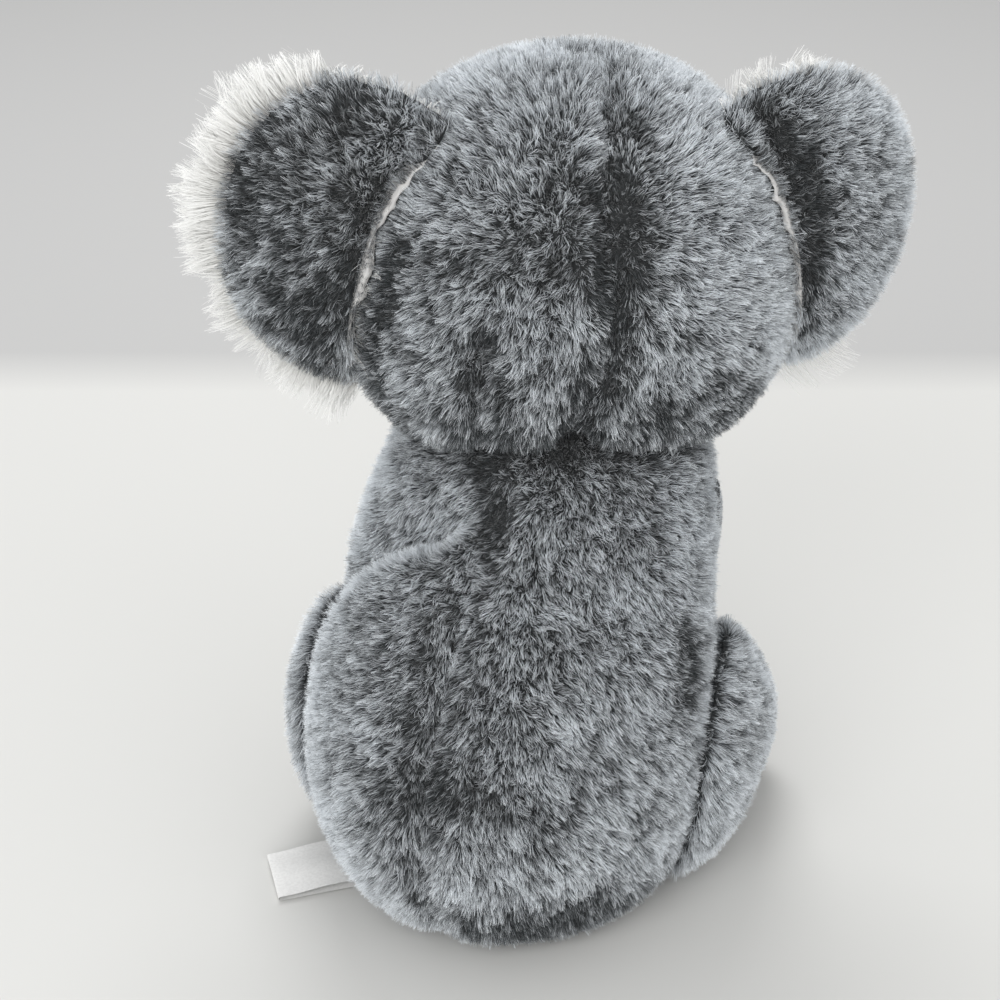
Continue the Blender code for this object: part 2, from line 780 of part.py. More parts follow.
def make_label(body_grown):
    """A loop of satin, folded at its free end, sewn in under the seat and lying over the table."""
    low = LABEL_HEIGHT + LABEL_CLOTH / 2
    high = low + 2 * LABEL_FOLD
    end = LABEL_REACH
    section = [(-LABEL_REACH, low), (end, low)]
    for step in range(1, FOLD_STEPS):
        turn = math.pi * step / FOLD_STEPS
        section.append((end + LABEL_FOLD * math.sin(turn), low + LABEL_FOLD * (1 - math.cos(turn))))
    section += [(end, high), (-LABEL_REACH, high)]
    bm = bmesh.new()
    points = [bm.verts.new((along, -LABEL_WIDTH / 2, height)) for along, height in section]
    edges = [bm.edges.new(pair) for pair in zip(points, points[1:])]
    swept = bmesh.ops.extrude_edge_only(bm, edges=edges)["geom"]
    moved = [item for item in swept if isinstance(item, bmesh.types.BMVert)]
    bmesh.ops.translate(bm, vec=(0, LABEL_WIDTH, 0), verts=moved)
    root = Matrix.Rotation(LABEL_BEARING, 4, "Z") @ Matrix.Translation((LABEL_ROOT, -LABEL_ASIDE, 0))
    bmesh.ops.transform(bm, matrix=root, verts=bm.verts)
    label = add_object("care_label", bm, KOALA)
    cloth = label.modifiers.new("cloth", "SOLIDIFY")
    cloth.thickness = LABEL_CLOTH
    cloth.offset = 0
    cut(label, body_grown)
    label.data.materials.append(satin())


# Joints


def pieces_named(names):
    """The pieces of the koala with these names."""
    return [KOALA.objects[name] for name in names]


def hang_moving_pieces():
    """Put each body that moves on an empty that lies on its joint's axis."""
    upright = Vector((0, 0, 1))
    level = Vector((-1, 0, 0))
    ears = []
    for side, word in ((1, "left"), (-1, "right")):
        hinge, along = ear_hinge(side)
        panels = pieces_named((f"ear_front_{word}", f"ear_back_{word}"))
        ears.append(hang_on(f"ear_{word}_axis", HEAD_PLACE @ hinge, HEAD_PLACE.to_3x3() @ along, panels))
        hang_on(f"arm_{word}_axis", shoulder(side), level, pieces_named((f"arm_{word}",)))
        hang_on(f"leg_{word}_axis", hip(side), level, pieces_named((f"leg_{word}", f"sole_pad_{word}")))
    neck = Vector((0, -NECK_FORWARD, BODY_HEIGHT - NECK_DOME))
    hang_on("head_axis", neck, upright, pieces_named(HEAD_PIECES) + ears)


# Run

make_body()
HEAD_FORM = baked(as_cutter(head_surface("head_form", CUTTERS)))
HEAD_GROWN = baked(as_cutter(head_surface("head_grown", CUTTERS, GAP)))
BODY_GROWN = baked(as_cutter(body_surface("body_grown", CUTTERS, GAP)))
make_head(HEAD_FORM)
make_muzzle_and_nose(HEAD_FORM, HEAD_GROWN)
make_label(BODY_GROWN)
for SIDE, WORD in ((1, "left"), (-1, "right")):
    make_ear(SIDE, WORD, HEAD_GROWN)
    make_arm(SIDE, WORD, BODY_GROWN)
    make_leg(SIDE, WORD, BODY_GROWN)
hang_moving_pieces()
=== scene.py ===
import math

import bmesh
import bpy
import numpy as np
from mathutils import Matrix, Vector
from mathutils.bvhtree import BVHTree
from mathutils.kdtree import KDTree


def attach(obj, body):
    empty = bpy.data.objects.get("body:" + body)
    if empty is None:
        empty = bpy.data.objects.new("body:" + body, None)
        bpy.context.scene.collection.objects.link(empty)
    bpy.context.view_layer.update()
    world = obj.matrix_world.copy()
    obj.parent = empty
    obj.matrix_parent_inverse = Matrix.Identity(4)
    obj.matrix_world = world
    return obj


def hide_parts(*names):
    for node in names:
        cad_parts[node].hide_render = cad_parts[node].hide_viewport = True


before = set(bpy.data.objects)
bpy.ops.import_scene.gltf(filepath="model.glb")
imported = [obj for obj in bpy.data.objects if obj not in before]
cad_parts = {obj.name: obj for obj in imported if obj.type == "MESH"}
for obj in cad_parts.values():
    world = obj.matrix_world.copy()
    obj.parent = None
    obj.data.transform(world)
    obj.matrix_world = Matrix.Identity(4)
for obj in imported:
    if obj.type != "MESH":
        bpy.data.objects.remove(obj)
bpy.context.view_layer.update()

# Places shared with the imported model, in metres. The koala faces -Y and its left is +X.
SIDES = ((1, "left"), (-1, "right"))
HEAD_MIDDLE = Vector((-0.005, -0.030, 0.213))
HEAD_TURN = math.radians(35)
HEAD_TILT = math.radians(-1)
EAR_SET_OUT = 0.068
EAR_RISE = 0.015
EAR_BACK = 0.012
EAR_TURN = math.radians(24)
EAR_CUP = 0.007
EAR_RADIUS = 0.054
LABEL_BEARING = math.radians(44)
LABEL_WIDTH = 0.024
LABEL_ASIDE = 0.004

# Cloth skins
VOXEL = 0.0035
LIMB_VOXEL = 0.0030
MUZZLE_VOXEL = 0.0022
NOSE_VOXEL = 0.0012
SOLE_VOXEL = 0.0009
TUCK_IN = 0.0014
CONTACT = 0.0025
FLOOR_REST = 0.0012
SKIN_FLOOR = 0.0002
HELD_SHARE = 0.55
SEAM_WIDTH = 0.0050
SIM_FRAMES = 16
SIM_PRESSURE = 4.0
SIM_REACH = 0.005

# Pile: lengths in metres, strands to the square metre, shades from 0 for dark to 1 for pale
STRANDS_PER_AREA = 5.0e6
FRINGE_PER_AREA = 3.4e6
MUZZLE_PER_AREA = 2.6e6
STRAND_WIDTH = 0.000165
FRINGE_WIDTH = 0.00025
MUZZLE_WIDTH = 0.00024
PILE_LENGTH = 0.0052
TUMMY_LENGTH = 0.0075
MUZZLE_LENGTH = 0.0045
FRINGE_LENGTH = 0.0105
FRINGE_LONGER = 0.0030
ROOT_DEPTH = 0.0004
TIP_SHARE = 0.45
SPREAD = 0.22
CLUMP_SIZE = 9
FRINGE_CLUMP_SIZE = 18
TUFT_TONE = 0.26
STRAND_TONE = 0.34
DARKEST = -0.25
GREY_LEVEL = 0.72
PALE_LEVEL = 0.62
PALE_MOTTLE = 0.08
GREY_LEAN = 0.28
FLOOR_GAP = 0.0003
CLOSE = (0.0002, 0.0003)
UV_HALF = 0.004
PIECE_STRANDS = 49000

HEAD_PLACE = (Matrix.Translation(HEAD_MIDDLE) @ Matrix.Rotation(HEAD_TURN, 4, "Z")
              @ Matrix.Rotation(HEAD_TILT, 4, "Y"))
HEAD_AXES = np.array(HEAD_PLACE.to_3x3())
HEAD_POINT = np.array(HEAD_MIDDLE)


def in_head(points):
    """Places in the head's own axes."""
    return (points - HEAD_POINT) @ HEAD_AXES


def ear_place(side):
    """An ear's own axes: out from its middle, forward against Y, and up."""
    middle = Matrix.Translation((side * EAR_SET_OUT, EAR_BACK, EAR_RISE))
    return HEAD_PLACE @ middle @ Matrix.Rotation(-side * EAR_TURN, 4, "Z")


# Noise


def lattice(cells, seed):
    """An even number from 0 to 1 for each cell of a grid."""
    mixed = cells[:, 0] * 73856093 ^ cells[:, 1] * 19349663 ^ cells[:, 2] * 83492791 ^ (seed + 7) * 2654435
    mixed = (mixed ^ (mixed >> 13)) * 1274126177 & 0xFFFFFFFF
    mixed = (mixed ^ (mixed >> 15)) * 2246822519 & 0xFFFFFFFF
    mixed = mixed ^ (mixed >> 16)
    return (mixed & 0xFFFF) / 65535.0


def noise(points, size, seed):
    """Smooth noise from -1 to 1 with features of a size."""
    scaled = points / size
    cell = np.floor(scaled).astype(np.int64)
    part = scaled - cell
    part = part * part * (3 - 2 * part)
    total = np.zeros(len(points))
    for corner in range(8):
        offset = np.array(((corner >> 2) & 1, (corner >> 1) & 1, corner & 1))
        weight = np.prod(np.where(offset, part, 1 - part), axis=1)
        total += weight * lattice(cell + offset, seed)
    return total * 2 - 1


def noise_vector(points, size, seed):
    """Three smooth noises from -1 to 1, as a direction at each point."""
    return np.stack([noise(points, size, seed + index) for index in range(3)], axis=1)


def unit(vectors):
    """Each direction at a length of 1."""
    return vectors / np.maximum(np.linalg.norm(vectors, axis=1, keepdims=True), 1e-9)


def ease(low, high, values):
    """A smooth step from 0 at low to 1 at high."""
    share = np.clip((values - low) / (high - low), 0, 1)
    return share * share * (3 - 2 * share)


def from_line(points, route):
    """The shortest way to each point from a row of joined straight lines."""
    best = np.full(points.shape, 1e3)
    for start, end in zip(route, route[1:]):
        start = np.array(start)
        along = np.array(end) - start
        share = np.clip((points - start) @ along / (along @ along), 0, 1)
        off = points - start - share[:, None] * along
        nearer = (off ** 2).sum(axis=1) < (best ** 2).sum(axis=1)
        best = np.where(nearer[:, None], off, best)
    return best


def line_distance(points, route):
    """How far each point is from a row of joined straight lines."""
    return np.linalg.norm(from_line(points, route), axis=1)


# Materials


def new_material(name):
    """A material with its nodes, links and shader."""
    made = bpy.data.materials.new(name)
    made.use_nodes = True
    tree = made.node_tree
    return made, tree.nodes, tree.links, tree.nodes["Principled BSDF"]


def ramp(nodes, stops):
    """A colour ramp from (place, colour) pairs."""
    node = nodes.new("ShaderNodeValToRGB")
    elements = node.color_ramp.elements
    while len(elements) < len(stops):
        elements.new(0.5)
    for element, (place, colour) in zip(elements, stops):
        element.position = place
        element.color = (*colour, 1)
    return node


def pile_material(name, dark, light, sheen=0.15):
    """Pile whose colour runs from root to tip, between a dark and a light kind of strand."""
    made, nodes, links, shader = new_material(name)
    place = nodes.new("ShaderNodeUVMap")
    place.uv_map = "OFBake"
    split = nodes.new("ShaderNodeSeparateXYZ")
    links.new(place.outputs["UV"], split.inputs[0])
    low = ramp(nodes, dark)
    high = ramp(nodes, light)
    links.new(split.outputs["Y"], low.inputs["Fac"])
    links.new(split.outputs["Y"], high.inputs["Fac"])
    blend = nodes.new("ShaderNodeMix")
    blend.data_type = "RGBA"
    links.new(split.outputs["X"], blend.inputs["Factor"])
    links.new(low.outputs["Color"], blend.inputs[6])
    links.new(high.outputs["Color"], blend.inputs[7])
    links.new(blend.outputs[2], shader.inputs["Base Color"])
    shader.inputs["Roughness"].default_value = 0.85
    shader.inputs["Specular IOR Level"].default_value = 0.25
    shader.inputs["Sheen Weight"].default_value = sheen
    shader.inputs["Sheen Roughness"].default_value = 0.5
    return made


def cloth_material(name, low, high, size, bump, roughness=0.9):
    """A matt surface with mottled colour and a fine raised grain."""
    made, nodes, links, shader = new_material(name)
    place = nodes.new("ShaderNodeTexCoord")
    mottle = nodes.new("ShaderNodeTexNoise")
    mottle.inputs["Scale"].default_value = 1 / size
    mottle.inputs["Detail"].default_value = 6
    colour = ramp(nodes, ((0.35, low), (0.65, high)))
    links.new(place.outputs["Object"], mottle.inputs["Vector"])
    links.new(mottle.outputs["Fac"], colour.inputs["Fac"])
    links.new(colour.outputs["Color"], shader.inputs["Base Color"])
    grain = nodes.new("ShaderNodeTexNoise")
    grain.inputs["Scale"].default_value = 5 / size
    grain.inputs["Detail"].default_value = 3
    links.new(place.outputs["Object"], grain.inputs["Vector"])
    height = nodes.new("ShaderNodeBump")
    height.inputs["Strength"].default_value = bump
    height.inputs["Distance"].default_value = 0.0005
    links.new(grain.outputs["Fac"], height.inputs["Height"])
    links.new(height.outputs["Normal"], shader.inputs["Normal"])
    shader.inputs["Roughness"].default_value = roughness
    shader.inputs["Specular IOR Level"].default_value = 0.3
    return made


def grey(level, blue=0.04):
    """A grey that leans to blue by a share."""
    return (level * (1 - 1.8 * blue), level, level * (1 + blue))


GREY_PILE = pile_material(
    "grey_pile_strands",
    ((0.0, (0.008, 0.011, 0.012)), (0.50, (0.013, 0.017, 0.019)), (0.78, (0.030, 0.036, 0.039)),
     (1.0, (0.090, 0.100, 0.106))),
    ((0.0, (0.015, 0.020, 0.022)), (0.25, (0.068, 0.077, 0.082)), (0.46, (0.662, 0.700, 0.738)),
     (1.0, (0.920, 0.962, 1.000))), sheen=0.3)
WHITE_PILE = pile_material(
    "white_pile_strands",
    ((0.0, (0.40, 0.39, 0.38)), (0.4, (0.74, 0.73, 0.71)), (1.0, (0.86, 0.86, 0.84))),
    ((0.0, (0.55, 0.54, 0.52)), (0.3, (0.88, 0.88, 0.86)), (1.0, (0.96, 0.96, 0.95))), sheen=0.4)
PALE_PILE = pile_material(
    "pale_pile_strands",
    ((0.0, grey(0.16, 0)), (0.5, grey(0.42, 0)), (1.0, grey(0.60, 0))),
    ((0.0, grey(0.30, 0)), (0.5, grey(0.70, 0)), (1.0, grey(0.88, 0))))
BACKING = cloth_material("grey_backing", grey(0.016), grey(0.040), 0.004, 0.6)
PALE_BACKING = cloth_material("pale_backing", (0.34, 0.33, 0.32), (0.48, 0.47, 0.46), 0.004, 0.6)
WHITE_BACKING = cloth_material("white_backing", (0.58, 0.57, 0.56), (0.70, 0.69, 0.68), 0.004, 0.6)
SUEDE = cloth_material("dark_suede_nap", grey(0.014), grey(0.034), 0.0012, 0.7)
SATIN = cloth_material("label_satin", (0.78, 0.78, 0.77), (0.86, 0.86, 0.85), 0.0009, 0.25, roughness=0.45)


def eye_material():
    """Polished near-black plastic with a fine brown mottle under a clear coat."""
    made, nodes, links, shader = new_material("eye_gloss")
    place = nodes.new("ShaderNodeTexCoord")
    mottle = nodes.new("ShaderNodeTexNoise")
    mottle.inputs["Scale"].default_value = 900
    mottle.inputs["Detail"].default_value = 4
    colour = ramp(nodes, ((0.3, (0.006, 0.005, 0.005)), (0.7, (0.020, 0.014, 0.010))))
    links.new(place.outputs["Object"], mottle.inputs["Vector"])
    links.new(mottle.outputs["Fac"], colour.inputs["Fac"])
    links.new(colour.outputs["Color"], shader.inputs["Base Color"])
    shader.inputs["Roughness"].default_value = 0.07
    shader.inputs["Coat Weight"].default_value = 0.6
    shader.inputs["Coat Roughness"].default_value = 0.03
    return made


def finish_node(name, material):
    """Give a CAD node that no skin replaces its finish."""
    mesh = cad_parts[name].data
    mesh.materials.clear()
    mesh.materials.append(material)


WASHER = cloth_material("washer_moulding", (0.60, 0.60, 0.57), (0.72, 0.72, 0.69), 0.003, 0.1, roughness=0.5)
EYE = eye_material()

# Skins: stuffed cloth


def node_arrays(name):
    """A CAD node's points and triangles."""
    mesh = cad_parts[name].data
    mesh.calc_loop_triangles()
    points = np.empty(len(mesh.vertices) * 3, np.float64)
    mesh.vertices.foreach_get("co", points)
    corners = np.empty(len(mesh.loop_triangles) * 3, np.int32)
    mesh.loop_triangles.foreach_get("vertices", corners)
    return points.reshape(-1, 3), corners.reshape(-1, 3)


def joined(names):
    """Some CAD nodes' points and triangles, as one list of each."""
    points = []
    corners = []
    count = 0
    for name in names:
        here, faces = node_arrays(name)
        points.append(here)
        corners.append(faces + count)
        count += len(here)
    return np.concatenate(points).tolist(), np.concatenate(corners).tolist()


def tree_of(names):
    """A search tree over some CAD nodes' surfaces."""
    return BVHTree.FromPolygons(*joined(names))


def distances(points, tree):
    """How far each point is from a surface."""
    return np.array([tree.find_nearest(Vector(point))[3] for point in points])


def applied(obj):
    """Replace an object's mesh by what its modifiers make of it."""
    bpy.context.view_layer.update()
    graph = bpy.context.evaluated_depsgraph_get()
    mesh = bpy.data.meshes.new_from_object(obj.evaluated_get(graph))
    obj.modifiers.clear()
    old = obj.data
    obj.data = mesh
    bpy.data.meshes.remove(old)
    return obj


def points_of(obj):
    """An object's points."""
    points = np.empty(len(obj.data.vertices) * 3, np.float64)
    obj.data.vertices.foreach_get("co", points)
    return points.reshape(-1, 3)


def normals_of(obj):
    """An object's outward direction at each point."""
    normals = np.empty(len(obj.data.vertices) * 3, np.float64)
    obj.data.vertex_normals.foreach_get("vector", normals)
    return normals.reshape(-1, 3)


def set_points(obj, points):
    """Move an object's points."""
    obj.data.vertices.foreach_set("co", points.astype(np.float32).ravel())
    obj.data.update()


def even_skin(name, nodes, voxel=VOXEL):
    """One closed, evenly meshed surface round some CAD nodes."""
    points, corners = joined(nodes)
    mesh = bpy.data.meshes.new(name)
    mesh.from_pydata(points, [], corners)
    obj = bpy.data.objects.new(name, mesh)
    bpy.context.scene.collection.objects.link(obj)
    remesh = obj.modifiers.new("even", "REMESH")
    remesh.mode = "VOXEL"
    remesh.voxel_size = voxel
    relax = obj.modifiers.new("relax", "SMOOTH")
    relax.factor = 0.5
    relax.iterations = 4
    applied(obj)
    keep_outer(obj)
    obj.data.shade_smooth()
    return obj


def keep_outer(obj):
    """Keep only the largest of the closed surfaces, which is the outer one."""
    bm = bmesh.new()
    bm.from_mesh(obj.data)
    left = set(bm.verts)
    groups = []
    while left:
        seed = left.pop()
        group = {seed}
        edge = [seed]
        while edge:
            vert = edge.pop()
            for link in vert.link_edges:
                other = link.other_vert(vert)
                if other in left:
                    left.discard(other)
                    group.add(other)
                    edge.append(other)
        groups.append(group)
    groups.sort(key=len)
    for group in groups[:-1]:
        bmesh.ops.delete(bm, geom=list(group), context="VERTS")
    bm.to_mesh(obj.data)
    bm.free()


def refine(obj):
    """Split each face in four, smoothly."""
    finer = obj.modifiers.new("finer", "SUBSURF")
    finer.levels = 1
    finer.render_levels = 1
    applied(obj)
    obj.data.shade_smooth()


class Skin:
    """A stuffed skin: its object, where it started, its outward directions and its seams."""

    def __init__(self, name, nodes, neighbours, seams, voxel=VOXEL):
        self.obj = even_skin(name, nodes, voxel)
        self.start = points_of(self.obj)
        self.out = normals_of(self.obj)
        self.touch = distances(self.start, tree_of(neighbours))
        self.seams = seams
        self.draw_in()

    def seam_share(self, points):
        """1 on a seam, falling to 0 beside it."""
        share = np.zeros(len(points))
        for seam in self.seams:
            share = np.maximum(share, seam(points)[0])
        return share

    def draw_in(self):
        """Pull the cloth in a little all over, and further at its seams."""
        self.held = self.seam_share(self.start)
        shift = np.zeros(len(self.start))
        for seam in self.seams:
            share, depth = seam(self.start)
            shift = np.maximum(shift, share * depth)
        shift += TUCK_IN
        shift[self.start[:, 2] < FLOOR_REST] = 0
        self.before = self.start - self.out * shift[:, None]
        set_points(self.obj, self.before)

    def begin(self):
        """Add the cloth, held at its seams, at what it touches and where it stands."""
        obj = self.obj
        group = obj.vertex_groups.new(name="held")
        held = (self.held > HELD_SHARE) | (self.touch < CONTACT) | (self.start[:, 2] < FLOOR_REST)
        group.add(np.nonzero(held)[0].tolist(), 1.0, "REPLACE")
        cloth = obj.modifiers.new("stuffing", "CLOTH")
        settings = cloth.settings
        settings.quality = 5
        settings.mass = 0.2
        settings.tension_stiffness = 12
        settings.compression_stiffness = 8
        settings.shear_stiffness = 4
        settings.bending_stiffness = 0.3
        settings.use_pressure = True
        settings.uniform_pressure_force = SIM_PRESSURE
        settings.vertex_group_mass = group.name
        settings.effector_weights.gravity = 0
        cloth.collision_settings.use_collision = False
        cloth.point_cache.frame_start = 1
        cloth.point_cache.frame_end = SIM_FRAMES

    def end(self):
        """Keep the swollen shape, but inside the room that the solid has."""
        if self.obj.modifiers:
            applied(self.obj)
        moved = points_of(self.obj) - self.before
        size = np.linalg.norm(moved, axis=1, keepdims=True)
        moved *= np.minimum(1, SIM_REACH / np.maximum(size, 1e-9))
        place = self.before + moved
        rise = ((place - self.start) * self.out).sum(axis=1)
        place -= self.out * np.maximum(rise, 0)[:, None]
        place[:, 2] = np.maximum(place[:, 2], SKIN_FLOOR)
        set_points(self.obj, place)
        refine(self.obj)


def stuff(skins):
    """Blow all the skins up at once."""
    for skin in skins:
        skin.begin()
    for step in range(1, SIM_FRAMES + 1):
        bpy.context.scene.frame_set(step)
    for skin in skins:
        skin.end()
    bpy.context.scene.frame_set(1)


# Seams, each giving how near points are to it (1 on it) and how deep it draws the cloth in there

RUMP_FOLD = ((0.013, 0.031, 0.136), (0.021, 0.030, 0.134), (0.0336, 0.028, 0.127),
             (0.0449, 0.026, 0.117), (0.053, 0.024, 0.105), (0.0571, 0.0224, 0.097), (0.060, 0.020, 0.080))
RUMP_FOLD_DEPTH = 0.0110
RUMP_FOLD_REACH = 0.0150
RUMP_FOLD_EDGE = 0.0026
RUMP_FOLD_OUTER = np.array((0.5, -0.1, 0.84))
# Where the painted highlight on the rump fold's crest lies, and how wide it is
RUMP_RIDGE = 0.0045
RUMP_RIDGE_WIDTH = 0.0030
SPINE_ASIDE = 0.0045
SPINE_DEPTH = 0.0030
EAR_FOLD_DEPTH = 0.0030
HEAD_DART = ((-0.0064, 0.0271, 0.2073), (-0.0045, 0.025, 0.195), (-0.002, 0.022, 0.182),
             (0.001, 0.016, 0.172))
HEAD_SEAM_HEIGHTS = (-0.045, -0.033, -0.020, -0.003, 0.016, 0.031, 0.060)
HEAD_SEAM_OFFSETS = (0.004, 0.004, -0.001, -0.0055, -0.0045, -0.0015, -0.004)
HEAD_SEAM_DEPTH = 0.0040
HEAD_SEAM_DEEPER = 0.0050
DART_DEPTH = 0.0050


def nearness(distance, width=SEAM_WIDTH):
    """1 at a distance of 0, falling smoothly to 0 over about twice the width."""
    return np.exp(-(distance / width) ** 2)


def spine_seam(points):
    """Down the middle of the back."""
    off = np.where(points[:, 1] > 0, np.abs(points[:, 0] + SPINE_ASIDE), 1.0)
    return nearness(off) * (1 - ease(0.135, 0.150, points[:, 2])), SPINE_DEPTH


def rump_fold(points):
    """Over the left of the rump, steep on the rump's side and gentle on the other."""
    off = from_line(points, RUMP_FOLD)
    outer = ease(-0.002, 0.002, off @ RUMP_FOLD_OUTER)
    width = RUMP_FOLD_EDGE + (RUMP_FOLD_REACH - RUMP_FOLD_EDGE) * outer
    return nearness(np.linalg.norm(off, axis=1), width), RUMP_FOLD_DEPTH


def rump_crest_highlight(points):
    """1 on the crest that the rump's side of the fold makes, where a painted highlight is laid."""
    off = from_line(points, RUMP_FOLD)
    side = off @ RUMP_FOLD_OUTER
    crest = nearness(np.linalg.norm(off, axis=1) - RUMP_RIDGE, RUMP_RIDGE_WIDTH)
    return crest * ease(0.0, 0.002, -side) * ease(0.014, 0.030, points[:, 0])


def head_seam(points):
    """Down the middle of the head, wandering a little and deeper towards the neck."""
    own = in_head(points)
    line = np.interp(own[:, 2], HEAD_SEAM_HEIGHTS, HEAD_SEAM_OFFSETS)
    off = np.where(own[:, 1] > -0.01, np.abs(own[:, 0] - line), 1.0)
    return nearness(off), HEAD_SEAM_DEPTH + HEAD_SEAM_DEEPER * ease(0.020, 0.055, -own[:, 2])


def head_dart(points):
    """A short dart up from the neck, left of the seam."""
    return nearness(line_distance(points, HEAD_DART)), DART_DEPTH


def no_seam(points):
    """For a skin without a seam of its own."""
    return np.zeros(len(points)), 0.0


def ear_chord(side):
    """A shallow fold across an ear's back, near the head."""
    def seam(points):
        x, z, _, forward = ear_frame(side, points)
        off = np.where(forward < 0, np.abs(x + 0.010 + 0.25 * z), 1.0)
        return nearness(off), EAR_FOLD_DEPTH
    return seam


def ear_frame(side, points):
    """Places on an ear: out from its middle, up from it, away from it, and forward."""
    axes = np.array(ear_place(side))
    own = (points - axes[:3, 3]) @ axes[:3, :3]
    x = own[:, 0] * side
    z = own[:, 2]
    radius = np.hypot(x, z)
    forward = -own[:, 1] - EAR_CUP * (radius / EAR_RADIUS) ** 2
    return x, z, radius, forward


BODY = Skin("body_cloth", ("body_skin", "tummy_panel", "body_stuffing", "pellet_bag"),
            ("head_skin", "leg_left", "leg_right", "arm_left", "arm_right"), (spine_seam, rump_fold))
HEAD = Skin("head_cloth", ("head_skin", "head_stuffing", "eye_washer_left", "eye_washer_right"),
            ("body_skin", "ear_back_left", "ear_front_left", "ear_back_right", "ear_front_right"),
            (head_seam, head_dart))
EARS = {side: Skin(f"ear_{word}_cloth", (f"ear_front_{word}", f"ear_back_{word}"), ("head_skin",),
                   (ear_chord(side),), LIMB_VOXEL)
        for side, word in SIDES}
ARMS = {side: Skin(f"arm_{word}_cloth", (f"arm_{word}",), ("body_skin", "tummy_panel"), (no_seam,),
                   LIMB_VOXEL)
        for side, word in SIDES}
LEGS = {side: Skin(f"leg_{word}_cloth", (f"leg_{word}", f"sole_pad_{word}"), ("body_skin",), (no_seam,),
                   LIMB_VOXEL)
        for side, word in SIDES}
stuff([BODY, HEAD, *EARS.values(), *ARMS.values(), *LEGS.values()])


# Pile


class Roots:
    """Points spread evenly over a skin where a mask allows, with the skin's outward direction at each."""

    def __init__(self, obj, density, seed, mask=None):
        rng = np.random.default_rng(seed)
        mesh = obj.data
        mesh.calc_loop_triangles()
        points = points_of(obj)
        normals = normals_of(obj)
        corners = np.empty(len(mesh.loop_triangles) * 3, np.int32)
        mesh.loop_triangles.foreach_get("vertices", corners)
        corners = corners.reshape(-1, 3)
        a, b, c = (points[corners[:, index]] for index in range(3))
        areas = np.linalg.norm(np.cross(b - a, c - a), axis=1) / 2
        total = np.cumsum(areas)
        count = int(total[-1] * density)
        picks = (np.arange(count) + rng.random(count)) * total[-1] / count
        face = np.minimum(np.searchsorted(total, picks), len(areas) - 1)
        first = np.sqrt(rng.random(count))
        second = rng.random(count)
        weights = np.stack([1 - first, first * (1 - second), first * second], axis=1)
        self.points = (points[corners[face]] * weights[..., None]).sum(axis=1)
        self.normals = unit((normals[corners[face]] * weights[..., None]).sum(axis=1))
        self.rng = rng
        if mask is not None:
            values = mask(points, normals)
            share = (values[corners[face]] * weights).sum(axis=1)
            self.keep(rng.random(count) < share)

    def keep(self, chosen):
        self.points = self.points[chosen]
        self.normals = self.normals[chosen]

    def __len__(self):
        return len(self.points)


def flat_on(vectors, normals):
    """The part of each direction that lies along the surface."""
    return vectors - (vectors * normals).sum(axis=1, keepdims=True) * normals


def lay(roots, comb, length, lean, tone, width=STRAND_WIDTH, joints=2, clump=0.45, clump_size=CLUMP_SIZE,
        unrest=0.48, droop=0.0, vary=0.10):
    """Strands that stand on the skin and lean with the comb, as (points, side directions, widths, shades)."""
    rng = roots.rng
    count = len(roots)
    points = roots.points
    normals = roots.normals
    leader = tufts_of(points, clump_size)
    tuft = rng.normal(size=(2, count))[:, leader]
    swirl = noise_vector(points, 0.024, 11) * 0.35 + noise_vector(points, 0.0075, 17) * 0.4
    swirl += noise_vector(points, 0.0030, 29) * 0.6
    tilt = flat_on(unit(flat_on(comb, normals)) * np.reshape(lean, (-1, 1)) + swirl * unrest, normals)
    jitter = rng.normal(size=(count, 3)) * SPREAD
    size = length * (0.84 + 0.22 * rng.random(count)) * (1 + vary * np.clip(tuft[0], -2, 2))
    path = [points - normals * ROOT_DEPTH]
    for step in range(joints):
        share = (step + 0.5) / joints
        curl = 0.2 + 2.2 * share ** 1.5
        heading = unit(normals + (tilt + jitter) * curl)
        heading[:, 2] -= droop * share
        path.append(path[-1] + unit(heading) * (size / joints)[:, None])
    path = np.stack(path, axis=1)
    gather(path, points, leader, clump, rng)
    path[:, 1:, 2] = np.maximum(path[:, 1:, 2], FLOOR_GAP + 0.0006 * rng.random((count, 1)))
    chord = unit(path[:, -1] - path[:, 0])
    side = unit(np.cross(chord, normals) + rng.normal(size=(count, 3)) * 0.3)
    widths = width * (0.8 + 0.4 * rng.random(count))
    shade = np.maximum(tone, DARKEST) + TUFT_TONE * tuft[0] + STRAND_TONE * rng.normal(size=count)
    return path, side, widths, np.clip(shade, 0.02, 0.98)


def tufts_of(points, size):
    """For each strand, the strand that leads its tuft."""
    leaders = np.arange(0, len(points), size)
    tree = KDTree(len(leaders))
    for index in leaders:
        tree.insert(points[index], int(index))
    tree.balance()
    return np.array([tree.find(point)[1] for point in points])


def gather(path, points, leader, clump, rng):
    """Draw the tips of each tuft together."""
    steps = path.shape[1] - 1
    pull = clump * (0.6 + 0.8 * rng.random(len(points)))
    reach = path[leader] - points[leader][:, None]
    for step in range(1, steps + 1):
        share = (pull * (step / steps) ** 1.5)[:, None]
        meet = points[leader] + reach[:, step]
        path[:, step] += (meet - path[:, step]) * share


